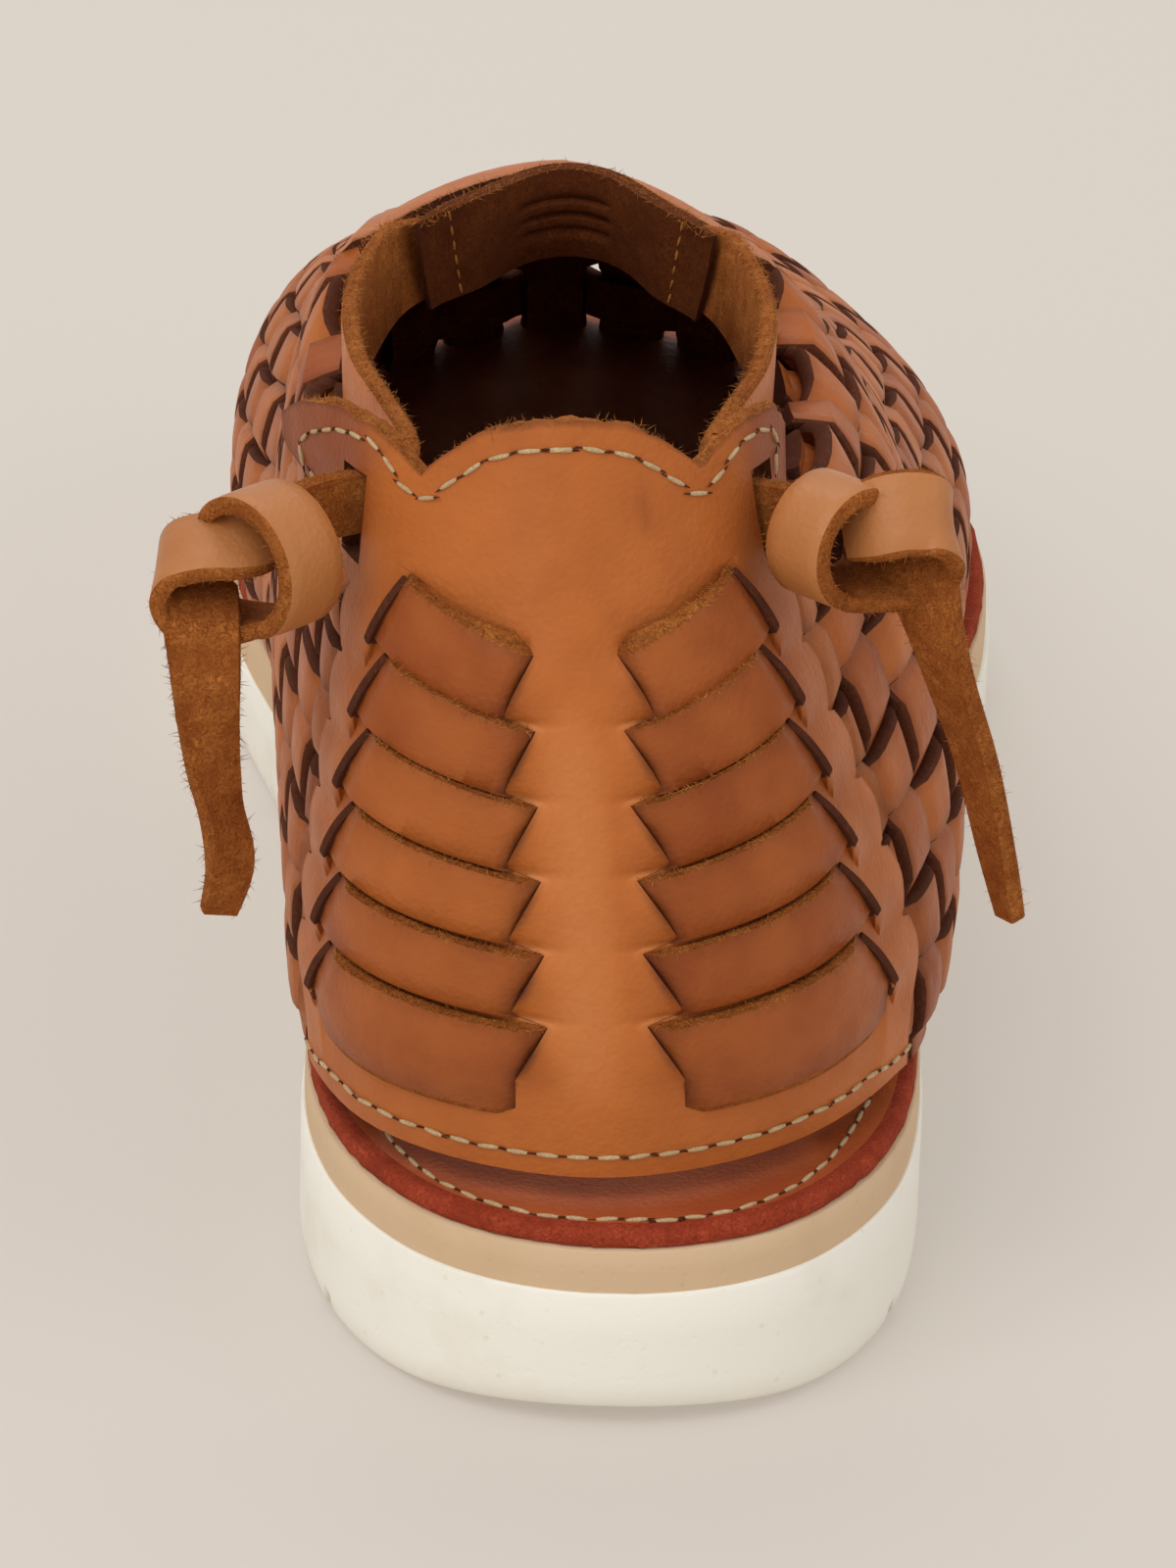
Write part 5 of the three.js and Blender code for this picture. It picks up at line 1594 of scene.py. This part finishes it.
class HUARACHE_OT_collar(bpy.types.Operator):
    """Napped throat saddle and the two ankle straps that run from it to the counter's slits"""

    bl_idname = "huarache.collar"
    bl_label = "Collar"

    SIDE_STEPS = 81
    DOWN_STEPS = 25
    RIM_STEP = 0.1
    SLITS = (0.32, 0.5, 0.68)
    SLIT_WIDE = 0.025
    SLIT_DEEP = 1.0
    SLIT_AT = 0.06
    SLIT_HALF = 0.34
    SLIT_FADE = 0.08
    END_THIN = 1.6
    END_FROM = 0.6
    END_RUN = 0.4
    STITCH_COLUMNS = (9, -10)
    STITCH_OFF = 0.05
    STITCH_SPAN = slice(2, -2)
    RIM_NAP = (-1, 0, 1)
    STRAP_STEPS = 70
    STRAP_NAP = (-0.9, 0, 0.9)

    def execute(self, context):
        self.thick = context.scene.huarache.sizes.tie_thick / MM
        self.saddle()
        for name, side in SIDES:
            self.strap(name, side)
        return {"FINISHED"}

    def saddle(self):
        """Standing band with three slits; its lower edge is shorter and further forward."""
        last = len(SADDLE_RIM) - 1
        side = np.linspace(-1, 1, self.SIDE_STEPS)[None]
        down = np.linspace(0, 1, self.DOWN_STEPS)[:, None]
        at = last / 2 * (1 + side * (1 - SADDLE_TAPER * down))
        rim = table_at(SADDLE_RIM, at)
        run = table_at(SADDLE_RIM, np.minimum(last, at + self.RIM_STEP))
        run = run - table_at(SADDLE_RIM, np.maximum(0, at - self.RIM_STEP))
        out = unit(np.stack([run[..., 1], -run[..., 0], 0 * at], -1))
        lean = SADDLE_LEAN * down**2 * (1 - side**2) ** 2
        face = rim + out * lean[..., None] - np.array([0, 0, SADDLE_DROP]) * down[..., None]
        slit = sum(bell(down, middle, self.SLIT_WIDE) for middle in self.SLITS)
        slit = slit * smooth((self.SLIT_HALF - np.abs(side - self.SLIT_AT)) / self.SLIT_FADE)
        thin = self.END_THIN * smooth((np.abs(side) - self.END_FROM) / self.END_RUN)
        front = face + out * (SADDLE_THICK / 2)
        back = face - out * (SADDLE_THICK / 2 - self.SLIT_DEEP * slit - thin)[..., None]
        piece = Piece()
        piece.panel(front[::-1], back[::-1], FLESH, FLESH)
        # The napped faces take the saddle suede, darkened further as painted shade inside the collar
        materials = ("strap_grain", "raw_edge", "saddle_suede_shaded")
        piece.build("throat_saddle_suede", materials, "collar_suede", "throat_saddle")
        for thick in self.RIM_NAP:
            NAP_LINES.append(rim[0] + out[0] * thick)
        for end in self.STITCH_COLUMNS:
            FINE_LINES.append((back - out * self.STITCH_OFF)[self.STITCH_SPAN, end])

    def strap(self, name, side):
        at = np.linspace(0, len(STRAP_PATH) - 1, self.STRAP_STEPS)
        reach, y, z, lean, width = table_at(STRAP_PATH, at).T
        points = np.stack([COLLAR_X + side * reach, y, z], -1)
        wide = np.stack([side * lean, np.zeros(len(at)), np.ones(len(at))], -1)
        rings = ribbon_rings(points, -side * wide, width, self.thick)
        piece = Piece()
        piece.strap(rings, NAPPED_FINISH)
        piece.build("ankle_strap_" + name + "_leather", LEATHERS, "collar_suede", "ankle_strap_" + name)
        upper = points + wide * (width / 2)[:, None]
        for thick in self.STRAP_NAP:
            NAP_LINES.append(upper + np.array([thick, 0, 0]))


class HUARACHE_OT_ties(bpy.types.Operator):
    """Two knotted ties with hanging ends"""

    bl_idname = "huarache.ties"
    bl_label = "Ties"

    STEPS = 150
    NAP_FROM = 5
    NAP_POINTS = (5, 11, 6, 10)

    def execute(self, context):
        self.thick = context.scene.huarache.sizes.tie_thick / MM
        for name, side in SIDES:
            self.tie(name, side)
        return {"FINISHED"}

    def roll(self, reach, y, z, radius):
        """Stops of the turn of strap round the knot."""
        axis = unit(np.array([*ROLL_AXIS, 0]))
        level = np.array([-axis[1], axis[0], 0])
        rows = []
        for angle in np.linspace(ROLL_FROM, ROLL_TO, ROLL_STEPS):
            spoke = level * math.cos(angle) + np.array([0, 0, math.sin(angle)])
            rows.append((*(np.array([reach, y, z]) + radius * spoke), *-axis, ROLL_WIDE))
        return rows

    def tie(self, name, side):
        stops = np.array([*TIE_STARTS[name], *self.roll(*ROLLS[name]), *TIE_TAILS[name]], float)
        stops = table_at(stops, np.linspace(0, len(stops) - 1, self.STEPS))
        points = stops[:, :3].copy()
        points[:, 0] = COLLAR_X + side * points[:, 0]
        wide = stops[:, 3:6] * np.array([side, 1, 1])
        rings = ribbon_rings(points, side * wide, stops[:, 6], self.thick)
        piece = Piece()
        piece.strap(rings, NAPPED_FINISH)
        materials = ("tie_grain", "flesh_side", "flesh_side")
        tie = piece.build("tie_" + name, materials, "tie_leather", "tie_knot_" + name, "tie_end_" + name)
        for point in self.NAP_POINTS:
            NAP_LINES.append(rings[self.NAP_FROM:, point])


class HUARACHE_OT_threads(bpy.types.Operator):
    """Stitches along the counter, the saddle's ends and the footbed"""

    bl_idname = "huarache.threads"
    bl_label = "Stitches"

    # Needle holes: dark beads between the stitches, painted shade for the holes
    HOLE_LONG = 1.3
    HOLE_THICK = 0.6
    FINE_PITCH = 0.6
    FINE_LONG = 0.5
    FINE_THICK = 0.6

    def execute(self, context):
        sizes = context.scene.huarache.sizes
        pitch, stitch, thread = sizes.stitch_pitch, sizes.stitch, sizes.thread
        holes = (pitch, self.HOLE_LONG * pitch, self.HOLE_THICK * thread)
        fine = (self.FINE_PITCH * pitch, self.FINE_LONG * stitch, self.FINE_THICK * thread)
        runs = (
            ("stitches", THREAD_LINES, (pitch, stitch, thread), "thread", "counter_leather"),
            ("needle_hole_shade", THREAD_LINES, holes, "raw_edge", "counter_leather"),
            ("saddle_stitches", FINE_LINES, fine, "edge_fibre", "collar_suede"),
        )
        tree = thread_tree()
        for name, lines, lengths, material, slot in runs:
            inputs = dict(zip(("Pitch", "Stitch", "Thick"), lengths))
            inputs["Material"] = finish_of(material)
            run_tree(name, tree, lines, inputs, slot)
        return {"FINISHED"}


class HUARACHE_OT_nap(bpy.types.Operator):
    """Loose fibres along the raw edges"""

    bl_idname = "huarache.nap"
    bl_label = "Edge fibres"

    PITCH = 0.3
    THICK = 0.07

    def execute(self, context):
        sizes = context.scene.huarache.sizes
        inputs = {"Pitch": self.PITCH * MM, "Fibre": sizes.fibre, "Thick": self.THICK * MM}
        inputs["Material"] = finish_of("edge_fibre")
        run_tree("edge_fibres", nap_tree(), NAP_LINES, inputs, "collar_suede")
        return {"FINISHED"}


class HUARACHE_PT_panel(bpy.types.Panel):
    """Lists the steps that build the shoe"""

    bl_label = "Woven Huarache"
    bl_idname = "HUARACHE_PT_panel"
    bl_space_type = "VIEW_3D"
    bl_region_type = "UI"
    bl_category = "Huarache"

    def draw(self, context):
        for operator in OPERATORS:
            self.layout.operator(operator.bl_idname)
        settings = context.scene.huarache
        for group in (settings.sizes, settings.colours, settings.stage):
            box = self.layout.box()
            for name in group.__annotations__:
                box.prop(group, name)


OPERATORS = (
    HUARACHE_OT_stage,
    HUARACHE_OT_ties,
    HUARACHE_OT_sole,
    HUARACHE_OT_weave,
    HUARACHE_OT_vamp,
    HUARACHE_OT_counter,
    HUARACHE_OT_collar,
    HUARACHE_OT_threads,
    HUARACHE_OT_nap,
)
GROUPS = (HuaracheSizes, HuaracheColours, HuaracheStage, HuaracheSettings)


def register():
    for cls in (*GROUPS, *OPERATORS, HUARACHE_PT_panel):
        bpy.utils.register_class(cls)
    bpy.types.Scene.huarache = PointerProperty(type=HuaracheSettings)


def unregister():
    del bpy.types.Scene.huarache
    for cls in reversed((*GROUPS, *OPERATORS, HUARACHE_PT_panel)):
        bpy.utils.unregister_class(cls)


def main():
    register()
    bpy.ops.huarache.stage()
    bpy.ops.huarache.ties()
    bpy.ops.huarache.sole()
    bpy.ops.huarache.weave()
    bpy.ops.huarache.vamp()
    bpy.ops.huarache.counter()
    bpy.ops.huarache.collar()
    bpy.ops.huarache.threads()
    bpy.ops.huarache.nap()
    bpy.context.view_layer.update()


if __name__ == "__main__":
    main()
